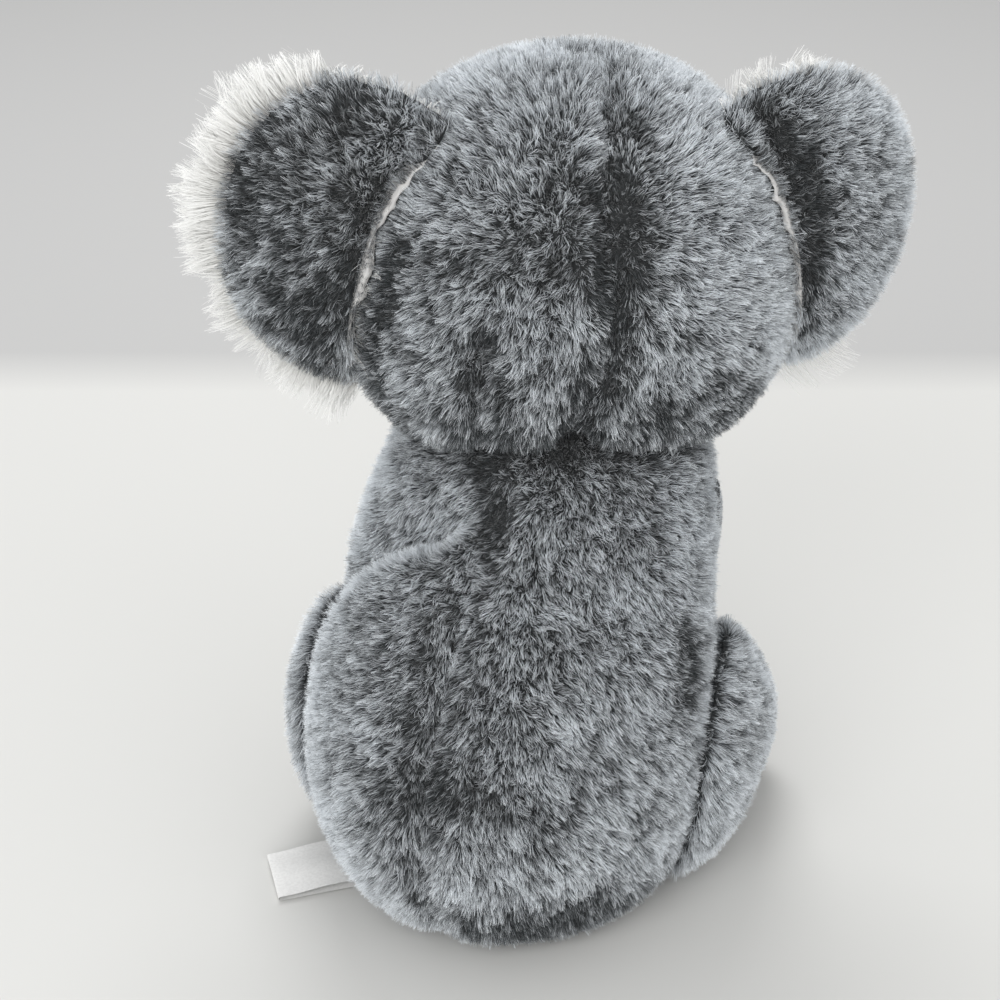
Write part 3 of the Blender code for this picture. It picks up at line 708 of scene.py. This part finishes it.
def strand_mesh(name, path, side, width, tone):
    """A mesh of slim blades, with OFBake giving each place's shade and its way along the strand."""
    count, rows = path.shape[:2]
    taper = np.linspace(1, TIP_SHARE, rows)
    half = (side * width[:, None])[:, None] * taper[None, :, None] / 2
    verts = np.stack([path - half, path + half], axis=2).reshape(count, rows * 2, 3)
    quads = np.array([[row * 2, row * 2 + 1, row * 2 + 3, row * 2 + 2] for row in range(rows - 1)])
    loop = quads.ravel()
    loops = (loop[None] + np.arange(count)[:, None] * rows * 2).ravel()
    mesh = bpy.data.meshes.new(name)
    mesh.vertices.add(count * rows * 2)
    mesh.vertices.foreach_set("co", verts.astype(np.float32).ravel())
    mesh.loops.add(len(loops))
    mesh.loops.foreach_set("vertex_index", loops.astype(np.int32))
    mesh.polygons.add(count * len(quads))
    mesh.polygons.foreach_set("loop_start", np.arange(0, len(loops), 4, dtype=np.int32))
    across = np.tile((-UV_HALF, UV_HALF), rows)
    along = np.repeat(np.linspace(0.01, 0.99, rows), 2)
    shade = np.clip(tone[:, None] + across[None], 0.001, 0.999)
    uv = np.stack([shade[:, loop], np.broadcast_to(along[loop], (count, len(loop)))], axis=2)
    mesh.uv_layers.new(name="OFBake").data.foreach_set("uv", uv.astype(np.float32).ravel())
    mesh.update(calc_edges=True)
    mesh.shade_smooth()
    return mesh


def pile(name, body, strands, material):
    """Objects of strands that ride on a body, none with too many strands."""
    path, side, width, tone = strands
    count = len(path)
    parts = max(1, math.ceil(count / PIECE_STRANDS))
    order = np.argsort(path[:, 0, 2], kind="stable")
    for index, chosen in enumerate(np.array_split(order, parts)):
        label = name if parts == 1 else f"{name}_{index + 1}"
        mesh = strand_mesh(label, path[chosen], side[chosen], width[chosen], tone[chosen])
        obj = bpy.data.objects.new(label, mesh)
        bpy.context.scene.collection.objects.link(obj)
        obj.data.materials.append(material)
        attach(obj, body)


def constant(vector, count):
    """The same direction for each of a count of strands."""
    return np.tile(np.array(vector, float), (count, 1))


# Shades placed one by one: patches as (middle, radius, depth) and lines as (route, width, depth), in metres.
# A depth below 0 makes a place paler.

# Some of these are painted shade and painted shadow, marked where they stand; the others are dark and pale
# patches of the pile.
BODY_SPOTS = (
    ((-0.002, 0.014, 0.164), 0.008, 0.80), ((-0.021, 0.008, 0.165), 0.008, 0.60),
    ((-0.007, 0.023, 0.151), 0.006, 1.00), ((-0.008, 0.026, 0.144), 0.007, 1.00),
    ((-0.002, 0.047, 0.111), 0.012, 0.30), ((0.018, 0.051, 0.102), 0.012, 0.30),
    ((0.009, 0.058, 0.089), 0.007, 0.65), ((-0.006, 0.065, 0.073), 0.010, 0.60),
    ((0.003, 0.068, 0.066), 0.009, 0.60), ((-0.014, 0.065, 0.069), 0.006, 0.50),
    ((-0.002, 0.070, 0.038), 0.006, 0.70), ((-0.003, 0.068, 0.026), 0.005, 0.70),
    # Painted shade where the right leg meets the body.
    ((-0.062, -0.003, 0.101), 0.012, 1.00), ((-0.063, 0.003, 0.088), 0.008, 0.80),
    # Painted shadow low on the body, next to the floor.
    ((-0.050, 0.045, 0.022), 0.012, 0.90), ((-0.036, 0.058, 0.012), 0.010, 0.80),
    ((-0.063, 0.025, 0.069), 0.010, 0.30), ((0.013, 0.062, 0.080), 0.006, -0.30),
    ((-0.043, 0.020, 0.128), 0.016, -0.30), ((-0.034, 0.030, 0.138), 0.010, -0.20),
    ((-0.055, 0.036, 0.046), 0.018, 0.30), ((-0.015, 0.063, 0.078), 0.007, 0.50),
)
BODY_LINES = (
    (((-0.007, 0.023, 0.151), (-0.008, 0.026, 0.144), (-0.008, 0.035, 0.131),
      (-0.004, 0.046, 0.114)), 0.0042, 0.45),
)
HEAD_SPOTS = (
    ((-0.018, 0.018, 0.240), 0.007, 0.45), ((-0.010, 0.022, 0.236), 0.007, 0.65),
    ((-0.007, 0.027, 0.207), 0.006, 0.80), ((-0.014, 0.023, 0.194), 0.006, 0.50),
    ((-0.048, -0.003, 0.186), 0.006, 0.60), ((-0.025, 0.006, 0.170), 0.006, 0.50),
    ((-0.031, -0.001, 0.250), 0.008, 0.30), ((0.002, 0.027, 0.232), 0.006, 0.60),
    ((-0.039, -0.009, 0.258), 0.006, 0.50),
    ((-0.047, -0.010, 0.246), 0.009, -0.35), ((-0.050, -0.003, 0.212), 0.009, 0.35),
    ((-0.007, 0.018, 0.249), 0.009, -0.40), ((-0.021, -0.002, 0.262), 0.007, -0.35),
    ((-0.013, -0.007, 0.271), 0.010, -0.15), ((0.007, 0.029, 0.221), 0.008, -0.25),
    ((-0.018, 0.023, 0.213), 0.008, -0.30),
)
HEAD_LINES = (
    (((-0.030, -0.005, 0.263), (-0.034, 0.001, 0.253), (-0.036, 0.006, 0.240),
      (-0.038, 0.009, 0.227)), 0.0092, 0.95),
    (((-0.039, 0.009, 0.227), (-0.040, 0.010, 0.215), (-0.040, 0.009, 0.205), (-0.037, 0.010, 0.197),
      (-0.033, 0.011, 0.190), (-0.028, 0.009, 0.178), (-0.025, 0.005, 0.168)), 0.0062, 1.40),
    # Painted shadow along the head's left edge, between the head and the left ear.
    (((0.023, 0.026, 0.234), (0.028, 0.026, 0.217), (0.034, 0.025, 0.203),
      (0.038, 0.022, 0.194)), 0.0065, 1.10),
    (((-0.006, 0.027, 0.210), (-0.002, 0.026, 0.191), (-0.001, 0.024, 0.181),
      (-0.003, 0.020, 0.175)), 0.0042, 0.85),
)

# Where the head's pile is trimmed short, where it parts, where the right leg's pile is short, and the way
# that the right arm's short pile faces
HEAD_TRIM = np.array((-0.063, -0.028, 0.178))
HEAD_CROWN = np.array((-0.022, 0.015, 0.242))
LEG_SHORT = np.array((-0.078, -0.012, 0.104))
ARM_OUTSIDE = -np.array((0.883, 0.469, 0.0))
ARM_COMB = (0.25, -0.65, -0.72)

# Painted shade on the leg where it meets the body.
LEG_SPOTS = (((-0.062, -0.003, 0.103), 0.010, 0.70), ((-0.064, 0.004, 0.090), 0.006, 0.50))
EAR_LEVEL = {1: 0.36, -1: 0.88}
EAR_SPOTS = {
    1: (((0.058, 0.032, 0.231), 0.009, 0.55), ((0.061, 0.031, 0.211), 0.010, 0.70),
        ((0.069, 0.030, 0.242), 0.008, 0.60),
        # Painted shadow low on the left ear, between the ear and the head.
        ((0.034, 0.026, 0.207), 0.012, 1.00), ((0.032, 0.028, 0.222), 0.011, 0.90),
        ((0.040, 0.030, 0.231), 0.008, 0.35), ((0.029, 0.023, 0.254), 0.008, 0.35),
        ((0.027, 0.017, 0.267), 0.010, -0.60), ((0.044, 0.029, 0.211), 0.008, 0.35),
        ((0.067, 0.026, 0.262), 0.006, 0.25)),
    -1: (((-0.058, -0.040, 0.266), 0.008, -0.40), ((-0.072, -0.046, 0.237), 0.007, 0.90),
         ((-0.079, -0.057, 0.200), 0.013, 0.50)),
}
EAR_LINES = {
    1: ((((0.051, 0.031, 0.240), (0.038, 0.026, 0.256), (0.026, 0.016, 0.269)), 0.0056, -0.75),),
    -1: ((((-0.062, -0.043, 0.265), (-0.069, -0.047, 0.256), (-0.076, -0.051, 0.243), (-0.079, -0.054, 0.231),
           (-0.077, -0.052, 0.221), (-0.073, -0.050, 0.206)), 0.0064, 1.50),),
}

# How far the white pile splays out past the rim, by the bearing about the ear's middle in degrees
FRINGE_SPLAY = {
    1: ((-180, -110, -95, 20, 68, 84, 180), (0.0, 0.2, 1.0, 1.0, 0.7, 0.1, 0.0)),
    -1: ((-180, -135, -115, -60, -40, 60, 75, 105, 125, 180),
         (0.0, 0.3, 1.0, 1.0, 0.0, 0.0, 0.4, 0.4, 0.0, 0.0)),
}

# How far in from the rim the grey back gives way to the white pile where that splays, above and below
WHITE_STRIP = 0.0120
WHITE_STRIP_LOW = 0.0060


def splay_of(side, x, z):
    """How far the white pile splays out at a place on an ear."""
    return np.interp(np.degrees(np.arctan2(z, x + 0.004)), *FRINGE_SPLAY[side])


def spotted(points, spots, lines=()):
    """How much darker the patches and lines make each point."""
    total = np.zeros(len(points))
    for route, width, depth in lines:
        off = line_distance(points + noise_vector(points, 0.007, 43) * width * 0.4, route)
        total += depth * nearness(off, width)
    for middle, radius, depth in spots:
        off = points - np.array(middle) + noise_vector(points, 0.012, 41) * radius * 0.4
        total += depth * np.exp(-(off ** 2).sum(axis=1) / radius ** 2)
    return np.minimum(total, 1.5)


def mottled(points, level, depth=0.38):
    """A shade that drifts from place to place, and from tuft to tuft."""
    drift = noise(points, 0.021, 5) * 0.40 + noise(points, 0.0095, 7) * 0.75
    tufts = noise(points, 0.0044, 9) * 0.90 + noise(points, 0.0023, 13) * 1.30
    tufts += noise(points, 0.0012, 15) * 0.90
    return level + 0.03 + depth * (drift + tufts)


def free_of(tree, gap=0.0005, soft=0.0006):
    """A mask that leaves out what lies against a neighbour."""
    def mask(points, normals):
        return ease(gap, gap + soft, distances(points, tree))
    return mask


def both(*masks):
    """A mask that allows only what all of some masks allow."""
    def mask(points, normals):
        share = np.ones(len(points))
        for one in masks:
            share = share * one(points, normals)
        return share
    return mask


def off_floor(points, normals):
    """A mask that leaves out the flat underside."""
    return 1 - ease(0.75, 0.92, -normals[:, 2]) * (1 - ease(0.001, 0.003, points[:, 2]))


TUMMY_RISE = 0.0825
TUMMY_HALF_WIDTH = 0.033
TUMMY_HALF_HEIGHT = 0.0525


def in_tummy(points):
    """1 inside the oval of the pale tummy panel, 0 outside."""
    across = points[:, 0] / TUMMY_HALF_WIDTH
    up = (points[:, 2] - TUMMY_RISE) / TUMMY_HALF_HEIGHT
    inside = 1 - ease(0.94, 1.0, np.hypot(across, up))
    return inside * (points[:, 1] < -0.02)


def dress_body():
    """The body's skin, its grey pile and the pale pile of its tummy panel."""
    obj = BODY.obj
    obj.data.materials.append(BACKING)
    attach(obj, "torso")
    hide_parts("body_skin", "tummy_panel", "body_stuffing", "pellet_bag")
    rest = tree_of(("head_skin", "arm_left", "arm_right"))
    legs = tree_of(("leg_left", "leg_right"))
    mask = both(free_of(rest), free_of(legs, *CLOSE), off_floor)
    grey_mask = both(mask, lambda points, normals: 1 - in_tummy(points))
    roots = Roots(obj, STRANDS_PER_AREA, 1, grey_mask)
    points = roots.points
    x = points[:, 0] + SPINE_ASIDE
    comb = constant((0, 0, -1), len(roots))
    comb[:, 0] += np.clip(x / 0.03, -1, 1) * 0.8 * (1 - ease(0.095, 0.135, points[:, 2]))
    # Painted light: the upper body and its sides are made paler, as where the light falls on them.
    lit_shoulder = ease(0.100, 0.135, points[:, 2])
    lit_flank = ease(0.020, 0.055, np.abs(x))
    seat = 1 - ease(0.02, 0.07, points[:, 2])
    # Painted shade: the pile is made darker just under the overhang of the head.
    neck = nearness(distances(points, tree_of(("head_skin",))), 0.009)
    # Painted shadow: the pile is made darker low on the right, next to the floor.
    contact_shadow = (1 - ease(0.012, 0.042, points[:, 2])) * ease(0.0, 0.030, -points[:, 0])
    spots = spotted(points, BODY_SPOTS, BODY_LINES)
    tone = mottled(points, GREY_LEVEL) + 0.14 * lit_shoulder
    tone += 0.22 * lit_flank
    tone += 0.10 * seat
    # Painted shade: the pile is also made darker along the seams' grooves.
    tone -= spots + 0.15 * BODY.seam_share(points) + 0.60 * neck
    # Painted highlight along the crest of the rump fold.
    tone += 0.35 * rump_crest_highlight(points)
    tone -= 0.9 * contact_shadow
    strands = lay(roots, comb, PILE_LENGTH * (1 - 0.4 * np.clip(spots, 0, 1)), GREY_LEAN, tone)
    pile("body_pile", "torso", strands, GREY_PILE)
    tummy = Roots(obj, STRANDS_PER_AREA, 2, both(mask, lambda points, normals: in_tummy(points)))
    comb = constant((0, 0, -1), len(tummy))
    tone = mottled(tummy.points, PALE_LEVEL, PALE_MOTTLE)
    strands = lay(tummy, comb, TUMMY_LENGTH, 0.45, tone)
    pile("tummy_pile", "torso", strands, PALE_PILE)


def dress_head():
    """The head's skin and its grey pile, shorter round the face."""
    obj = HEAD.obj
    obj.data.materials.append(BACKING)
    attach(obj, "head")
    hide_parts("head_skin", "head_stuffing")
    rest = tree_of(("body_skin",))
    ears = tree_of(("ear_back_left", "ear_front_left", "ear_back_right", "ear_front_right"))
    face = tree_of(("muzzle", "nose"))
    eyes = tree_of(("eye_left", "eye_right"))
    mask = both(free_of(rest), free_of(ears, *CLOSE), free_of(face, 0.0015, 0.001),
                free_of(eyes, 0.0014, 0.001))
    roots = Roots(obj, STRANDS_PER_AREA, 3, mask)
    points = roots.points
    own = in_head(points)
    muzzle = np.array(HEAD_PLACE @ Vector((0, -0.066, -0.016)))
    comb = unit(points - HEAD_CROWN)
    away = unit(points - muzzle)
    front = ease(0.02, 0.055, -own[:, 1])
    comb = unit(comb * (1 - front)[:, None] + away * front[:, None])
    comb[:, 0:2] += (unit(own[:, :1] * HEAD_AXES[:, 0][None]) * 0.4)[:, 0:2]
    crown = nearness(np.linalg.norm(points - HEAD_CROWN, axis=1), 0.022)
    trimmed = nearness(np.linalg.norm(points - HEAD_TRIM, axis=1), 0.014)
    ear_root = nearness(distances(points, ears), 0.004)
    # Painted light: the top and the right side of the head are made paler, as where the light falls on them.
    top = ease(0.010, 0.050, own[:, 2])
    right = ease(0.010, 0.040, -own[:, 0])
    # Painted shade: the pile is made darker where the head faces down.
    under = ease(0.05, 0.70, -roots.normals[:, 2])
    spots = spotted(points, HEAD_SPOTS, HEAD_LINES)
    length = PILE_LENGTH * (1 - 0.35 * front)
    length *= 0.35 + 0.65 * ease(0.002, 0.016, distances(points, eyes))
    length *= 1 - 0.6 * trimmed
    length *= 0.55 + 0.45 * ease(0.001, 0.014, distances(points, face))
    length *= 1 - 0.45 * np.clip(spots, 0, 1)
    length *= 1 + 0.4 * ear_root
    tone = mottled(points, 0.66, 0.42) + 0.18 * top
    tone += 0.20 * right
    # Painted shade: the pile is made darker along the seams' grooves.
    tone -= spots + 0.10 * HEAD.seam_share(points) + 0.80 * under
    lean = GREY_LEAN + 0.35 * front - 0.20 * crown
    strands = lay(roots, comb, length, lean, tone)
    pile("head_pile", "head", strands, GREY_PILE)


def dress_ear(side, word):
    """An ear's skin, the grey pile of its back and the white pile of its front."""
    skin = EARS[side]
    obj = skin.obj
    obj.data.materials.append(BACKING)
    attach(obj, f"ear_{word}")
    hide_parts(f"ear_front_{word}", f"ear_back_{word}")
    head = tree_of(("head_skin",))
    free = free_of(head, *CLOSE)
    axes = np.array(ear_place(side).to_3x3())
    forward = -axes[:, 1]
    outward = axes[:, 0] * side
    upward = axes[:, 2]

    def is_back(points, normals):
        x, z, radius, _ = ear_frame(side, points)
        strip = WHITE_STRIP + (WHITE_STRIP_LOW - WHITE_STRIP) * ease(0.0, 0.03, -z)
        edge = EAR_RADIUS - strip * splay_of(side, x, z)
        return (1 - ease(0.05, 0.45, normals @ forward)) * (1 - ease(0.0, 0.0015, radius - edge))

    def is_front(points, normals):
        return 1 - is_back(points, normals)

    obj.data.materials.append(WHITE_BACKING)
    middles = np.array([face.center for face in obj.data.polygons])
    facing = np.array([face.normal for face in obj.data.polygons])
    front_faces = (is_back(middles, facing) < 0.5).astype(np.int32)
    obj.data.polygons.foreach_set("material_index", front_faces)

    def rim_share(radius):
        return ease(0.55, 0.95, radius / EAR_RADIUS)

    roots = Roots(obj, STRANDS_PER_AREA, 5 + side, both(free, is_back))
    x, z, radius, _ = ear_frame(side, roots.points)
    comb = outward * (x + 0.026)[:, None] + upward * z[:, None]
    tone = mottled(roots.points, EAR_LEVEL[side], 0.50)
    if side < 0:
        tone += 0.14 * ease(0.75, 1.0, radius / EAR_RADIUS)
    spots = spotted(roots.points, EAR_SPOTS[side], EAR_LINES[side])
    near_head = nearness(distances(roots.points, head), 0.004)
    length = PILE_LENGTH * (1 - 0.3 * np.clip(spots, 0, 1)) * (1 + 0.5 * near_head)
    if side < 0:
        length *= 1 + 0.3 * ease(0.85, 1.0, radius / EAR_RADIUS)
    # Painted light: the pile is made a little paler next to the head, lifting the shade between ear and head.
    strands = lay(roots, comb, length, 0.22, tone - spots + 0.1 * near_head)
    pile(f"ear_{word}_back_pile", f"ear_{word}", strands, GREY_PILE)

    roots = Roots(obj, FRINGE_PER_AREA, 9 + side, both(free_of(head, 0.003, 0.003), is_front))
    x, z, radius, _ = ear_frame(side, roots.points)
    roots.keep(roots.rng.random(len(roots)) < 0.40 + 0.60 * rim_share(radius))
    x, z, radius, _ = ear_frame(side, roots.points)
    rim = rim_share(radius)
    splay = splay_of(side, x, z)
    comb = (outward * (x + 0.010)[:, None] + upward * z[:, None]) / EAR_RADIUS * splay[:, None]
    comb += forward * (1 - splay)[:, None] * rim[:, None]
    length = (FRINGE_LENGTH + FRINGE_LONGER * rim * splay) * np.where(x < 0, 0.7 + 0.3 * splay, 1)
    length *= 1 - 0.45 * rim * (1 - splay)
    if side < 0:
        length *= 1 + 0.5 * rim * splay
    lean = 0.5 * (1 - rim) + (1.35 - 0.15 * splay) * rim
    strands = lay(roots, comb, length, lean, mottled(roots.points, 0.75, 0.10), width=FRINGE_WIDTH,
                  joints=3, clump=0.55, clump_size=FRINGE_CLUMP_SIZE, unrest=0.8, droop=0.15, vary=0.25)
    pile(f"ear_{word}_front_pile", f"ear_{word}", strands, WHITE_PILE)


def dress_arm(side, word):
    """An arm's skin and pile."""
    obj = ARMS[side].obj
    obj.data.materials.append(BACKING)
    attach(obj, f"arm_{word}")
    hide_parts(f"arm_{word}")
    roots = Roots(obj, STRANDS_PER_AREA, 20 + side, free_of(tree_of(("body_skin", "tummy_panel"))))
    comb = constant((-side * ARM_COMB[0], *ARM_COMB[1:]), len(roots))
    outside = ease(0.2, 0.8, roots.normals @ ARM_OUTSIDE) if side < 0 else 0
    strands = lay(roots, comb, PILE_LENGTH * (1 - 0.6 * outside), 0.35, mottled(roots.points, GREY_LEVEL))
    pile(f"arm_{word}_pile", f"arm_{word}", strands, GREY_PILE)


def dress_leg(side, word):
    """A leg's skin and pile, shorter round the sole."""
    obj = LEGS[side].obj
    obj.data.materials.append(BACKING)
    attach(obj, f"leg_{word}")
    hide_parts(f"leg_{word}")
    sole = free_of(tree_of((f"sole_pad_{word}",)), 0.0012, 0.001)
    mask = both(free_of(tree_of(("body_skin",)), *CLOSE), sole, off_floor)
    roots = Roots(obj, STRANDS_PER_AREA, 30 + side, mask)
    comb = constant((0, -0.6, -0.8), len(roots))
    comb[:, 1] += 0.5 * ease(-0.02, 0.02, roots.points[:, 1])
    tone = mottled(roots.points, 0.80)
    # Painted shade: the pile is made darker low down next to the floor, and by LEG_SPOTS where the leg meets
    # the body.
    tone -= spotted(roots.points, LEG_SPOTS) + 0.3 * (1 - ease(0.008, 0.030, roots.points[:, 2]))
    near_sole = distances(roots.points, tree_of((f"sole_pad_{word}",)))
    length = PILE_LENGTH * (0.5 + 0.5 * ease(0.001, 0.012, near_sole))
    if side < 0:
        length *= 1 - 0.5 * nearness(np.linalg.norm(roots.points - LEG_SHORT, axis=1), 0.016)
    length *= 1 + 0.5 * nearness(distances(roots.points, tree_of(("body_skin",))), 0.005)
    strands = lay(roots, comb, length, 0.36, tone)
    pile(f"leg_{word}_pile", f"leg_{word}", strands, GREY_PILE)


dress_body()
dress_head()
for SIDE, WORD in SIDES:
    dress_ear(SIDE, WORD)
    dress_arm(SIDE, WORD)
    dress_leg(SIDE, WORD)

# Face


def dress_muzzle():
    """The muzzle's skin and pale pile."""
    skin = even_skin("muzzle_cloth", ("muzzle",), MUZZLE_VOXEL)
    skin.data.materials.append(PALE_BACKING)
    points = points_of(skin)
    set_points(skin, points - normals_of(skin) * 0.0008)
    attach(skin, "head")
    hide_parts("muzzle")
    nose = tree_of(("nose",))
    head = tree_of(("head_skin",))
    mask = both(free_of(nose, 0.0008, 0.0006), free_of(head, 0.0012, 0.0008))
    roots = Roots(skin, MUZZLE_PER_AREA, 50, mask)
    middle = np.array(HEAD_PLACE @ Vector((0, -0.070, -0.008)))
    tone = mottled(roots.points, PALE_LEVEL, PALE_MOTTLE)
    strands = lay(roots, unit(roots.points - middle), MUZZLE_LENGTH, 0.9, tone,
                  width=MUZZLE_WIDTH, unrest=0.3)
    pile("muzzle_pile", "head", strands, PALE_PILE)


def dress_smooth(node, name, body, material, voxel):
    """A smooth padded piece with no pile, such as the nose or a sole."""
    skin = even_skin(name, (node,), voxel)
    refine(skin)
    skin.data.materials.append(material)
    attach(skin, body)
    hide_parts(node)


dress_muzzle()
dress_smooth("nose", "nose_suede", "head", SUEDE, NOSE_VOXEL)
for _, WORD in SIDES:
    dress_smooth(f"sole_pad_{WORD}", f"sole_{WORD}_suede", f"leg_{WORD}", SUEDE, SOLE_VOXEL)
    finish_node(f"eye_{WORD}", EYE)
    finish_node(f"eye_washer_{WORD}", WASHER)

# Label


def dress_label():
    """A loop of satin ribbon, folded at its free end, with a blank face."""
    width = LABEL_WIDTH
    inner, outer = 0.044, 0.0855
    rise = 0.0009
    path = []
    steps = 14
    for step in range(steps + 1):
        share = step / steps
        path.append((inner + (outer - inner) * share, rise + 0.0003 * math.sin(math.pi * share)))
    fold = 0.0008
    for step in range(1, 6):
        turn = math.pi * step / 6
        path.append((outer + fold * math.sin(turn), rise + fold * (1 - math.cos(turn))))
    for step in range(steps + 1):
        share = 1 - step / steps
        lift = 0.0016 * math.sin(math.pi * share) ** 2
        path.append((inner + (outer - inner) * share, rise + 2 * fold + lift))
    across = 12
    verts = []
    for reach, height in path:
        for column in range(across + 1):
            share = column / across
            wave = 0.0004 * math.sin(2.2 * math.pi * share + reach * 60)
            verts.append((reach, (share - 0.5) * width - LABEL_ASIDE, height + max(wave, -0.0003)))
    faces = [(row * (across + 1) + column, row * (across + 1) + column + 1,
              (row + 1) * (across + 1) + column + 1, (row + 1) * (across + 1) + column)
             for row in range(len(path) - 1) for column in range(across)]
    mesh = bpy.data.meshes.new("label_ribbon")
    mesh.from_pydata(verts, [], faces)
    mesh.transform(Matrix.Rotation(LABEL_BEARING, 4, "Z"))
    mesh.shade_smooth()
    obj = bpy.data.objects.new("label_ribbon", mesh)
    bpy.context.scene.collection.objects.link(obj)
    mesh.materials.append(SATIN)
    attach(obj, "torso")
    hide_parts("care_label")


dress_label()

# Floor, light and camera


CAMERA_AZIMUTH = math.radians(208)
CAMERA_RISE = math.radians(30)
CAMERA_REACH = 0.62
CAMERA_AIM = (0, 0, 0.130)
CAMERA_ANGLE = math.radians(29.5)
CAMERA_SHIFT = (-0.012, 0.032)
LAMP_AIM = (0, 0, 0.12)
WORLD_STRENGTH = 0.72
FLOOR_FAR = 0.375
FLOOR_BLEND = 0.05


def floor_material():
    """Pale paper, a little darker past a line that lies behind the koala in the photograph's view."""
    made, nodes, links, shader = new_material("floor_paper")
    place = nodes.new("ShaderNodeTexCoord")
    turn = nodes.new("ShaderNodeMapping")
    turn.inputs["Rotation"].default_value = (0, 0, -CAMERA_AZIMUTH)
    split = nodes.new("ShaderNodeSeparateXYZ")
    # Painted shade: the far part of the floor is made darker.
    tint = ramp(nodes, ((0.0, (0.500, 0.500, 0.497)), (1.0, (0.665, 0.665, 0.648))))
    far = nodes.new("ShaderNodeMapRange")
    far.inputs["From Min"].default_value = FLOOR_FAR + FLOOR_BLEND
    far.inputs["From Max"].default_value = FLOOR_FAR
    links.new(place.outputs["Object"], turn.inputs["Vector"])
    links.new(turn.outputs["Vector"], split.inputs[0])
    links.new(split.outputs["Y"], far.inputs["Value"])
    links.new(far.outputs["Result"], tint.inputs["Fac"])
    links.new(tint.outputs["Color"], shader.inputs["Base Color"])
    shader.inputs["Roughness"].default_value = 0.9
    return made


def make_floor():
    """A wide flat floor."""
    reach = 4.0
    verts = []
    for x in (-reach, reach):
        verts += [(x, -reach, 0), (x, reach, 0)]
    mesh = bpy.data.meshes.new("floor")
    mesh.from_pydata(verts, [], [(0, 2, 3, 1)])
    floor = bpy.data.objects.new("floor", mesh)
    bpy.context.scene.collection.objects.link(floor)
    mesh.materials.append(floor_material())


def area_light(name, place, size, power):
    """A round soft lamp that faces the koala."""
    data = bpy.data.lights.new(name, "AREA")
    data.shape = "DISK"
    data.size = size
    data.energy = power
    lamp = bpy.data.objects.new(name, data)
    lamp.location = place
    lamp.rotation_euler = (Vector(LAMP_AIM) - Vector(place)).to_track_quat("-Z", "Y").to_euler()
    bpy.context.scene.collection.objects.link(lamp)


def make_camera():
    """A camera where the photograph was taken from."""
    data = bpy.data.cameras.new("camera")
    data.sensor_fit = "HORIZONTAL"
    data.angle = CAMERA_ANGLE
    data.shift_x, data.shift_y = CAMERA_SHIFT
    data.clip_start = 0.01
    data.clip_end = 20
    camera = bpy.data.objects.new("camera", data)
    back = Vector((math.sin(CAMERA_AZIMUTH) * math.cos(CAMERA_RISE),
                   -math.cos(CAMERA_AZIMUTH) * math.cos(CAMERA_RISE), math.sin(CAMERA_RISE)))
    camera.location = Vector(CAMERA_AIM) + back * CAMERA_REACH
    camera.rotation_euler = (-back).to_track_quat("-Z", "Y").to_euler()
    bpy.context.scene.collection.objects.link(camera)
    bpy.context.scene.camera = camera


def make_world():
    """Even white light from all round."""
    world = bpy.data.worlds.new("studio")
    world.use_nodes = True
    ground = world.node_tree.nodes["Background"]
    ground.inputs["Color"].default_value = (1.0, 1.0, 1.0, 1)
    ground.inputs["Strength"].default_value = WORLD_STRENGTH
    bpy.context.scene.world = world


make_floor()
area_light("key", (0.45, -0.70, 1.45), 0.8, 10)
area_light("fill", (-0.15, 1.20, 0.85), 1.2, 9)
area_light("side", (-1.15, 0.30, 0.9), 1.2, 2)
make_camera()
make_world()
bpy.context.scene.view_settings.view_transform = "Standard"
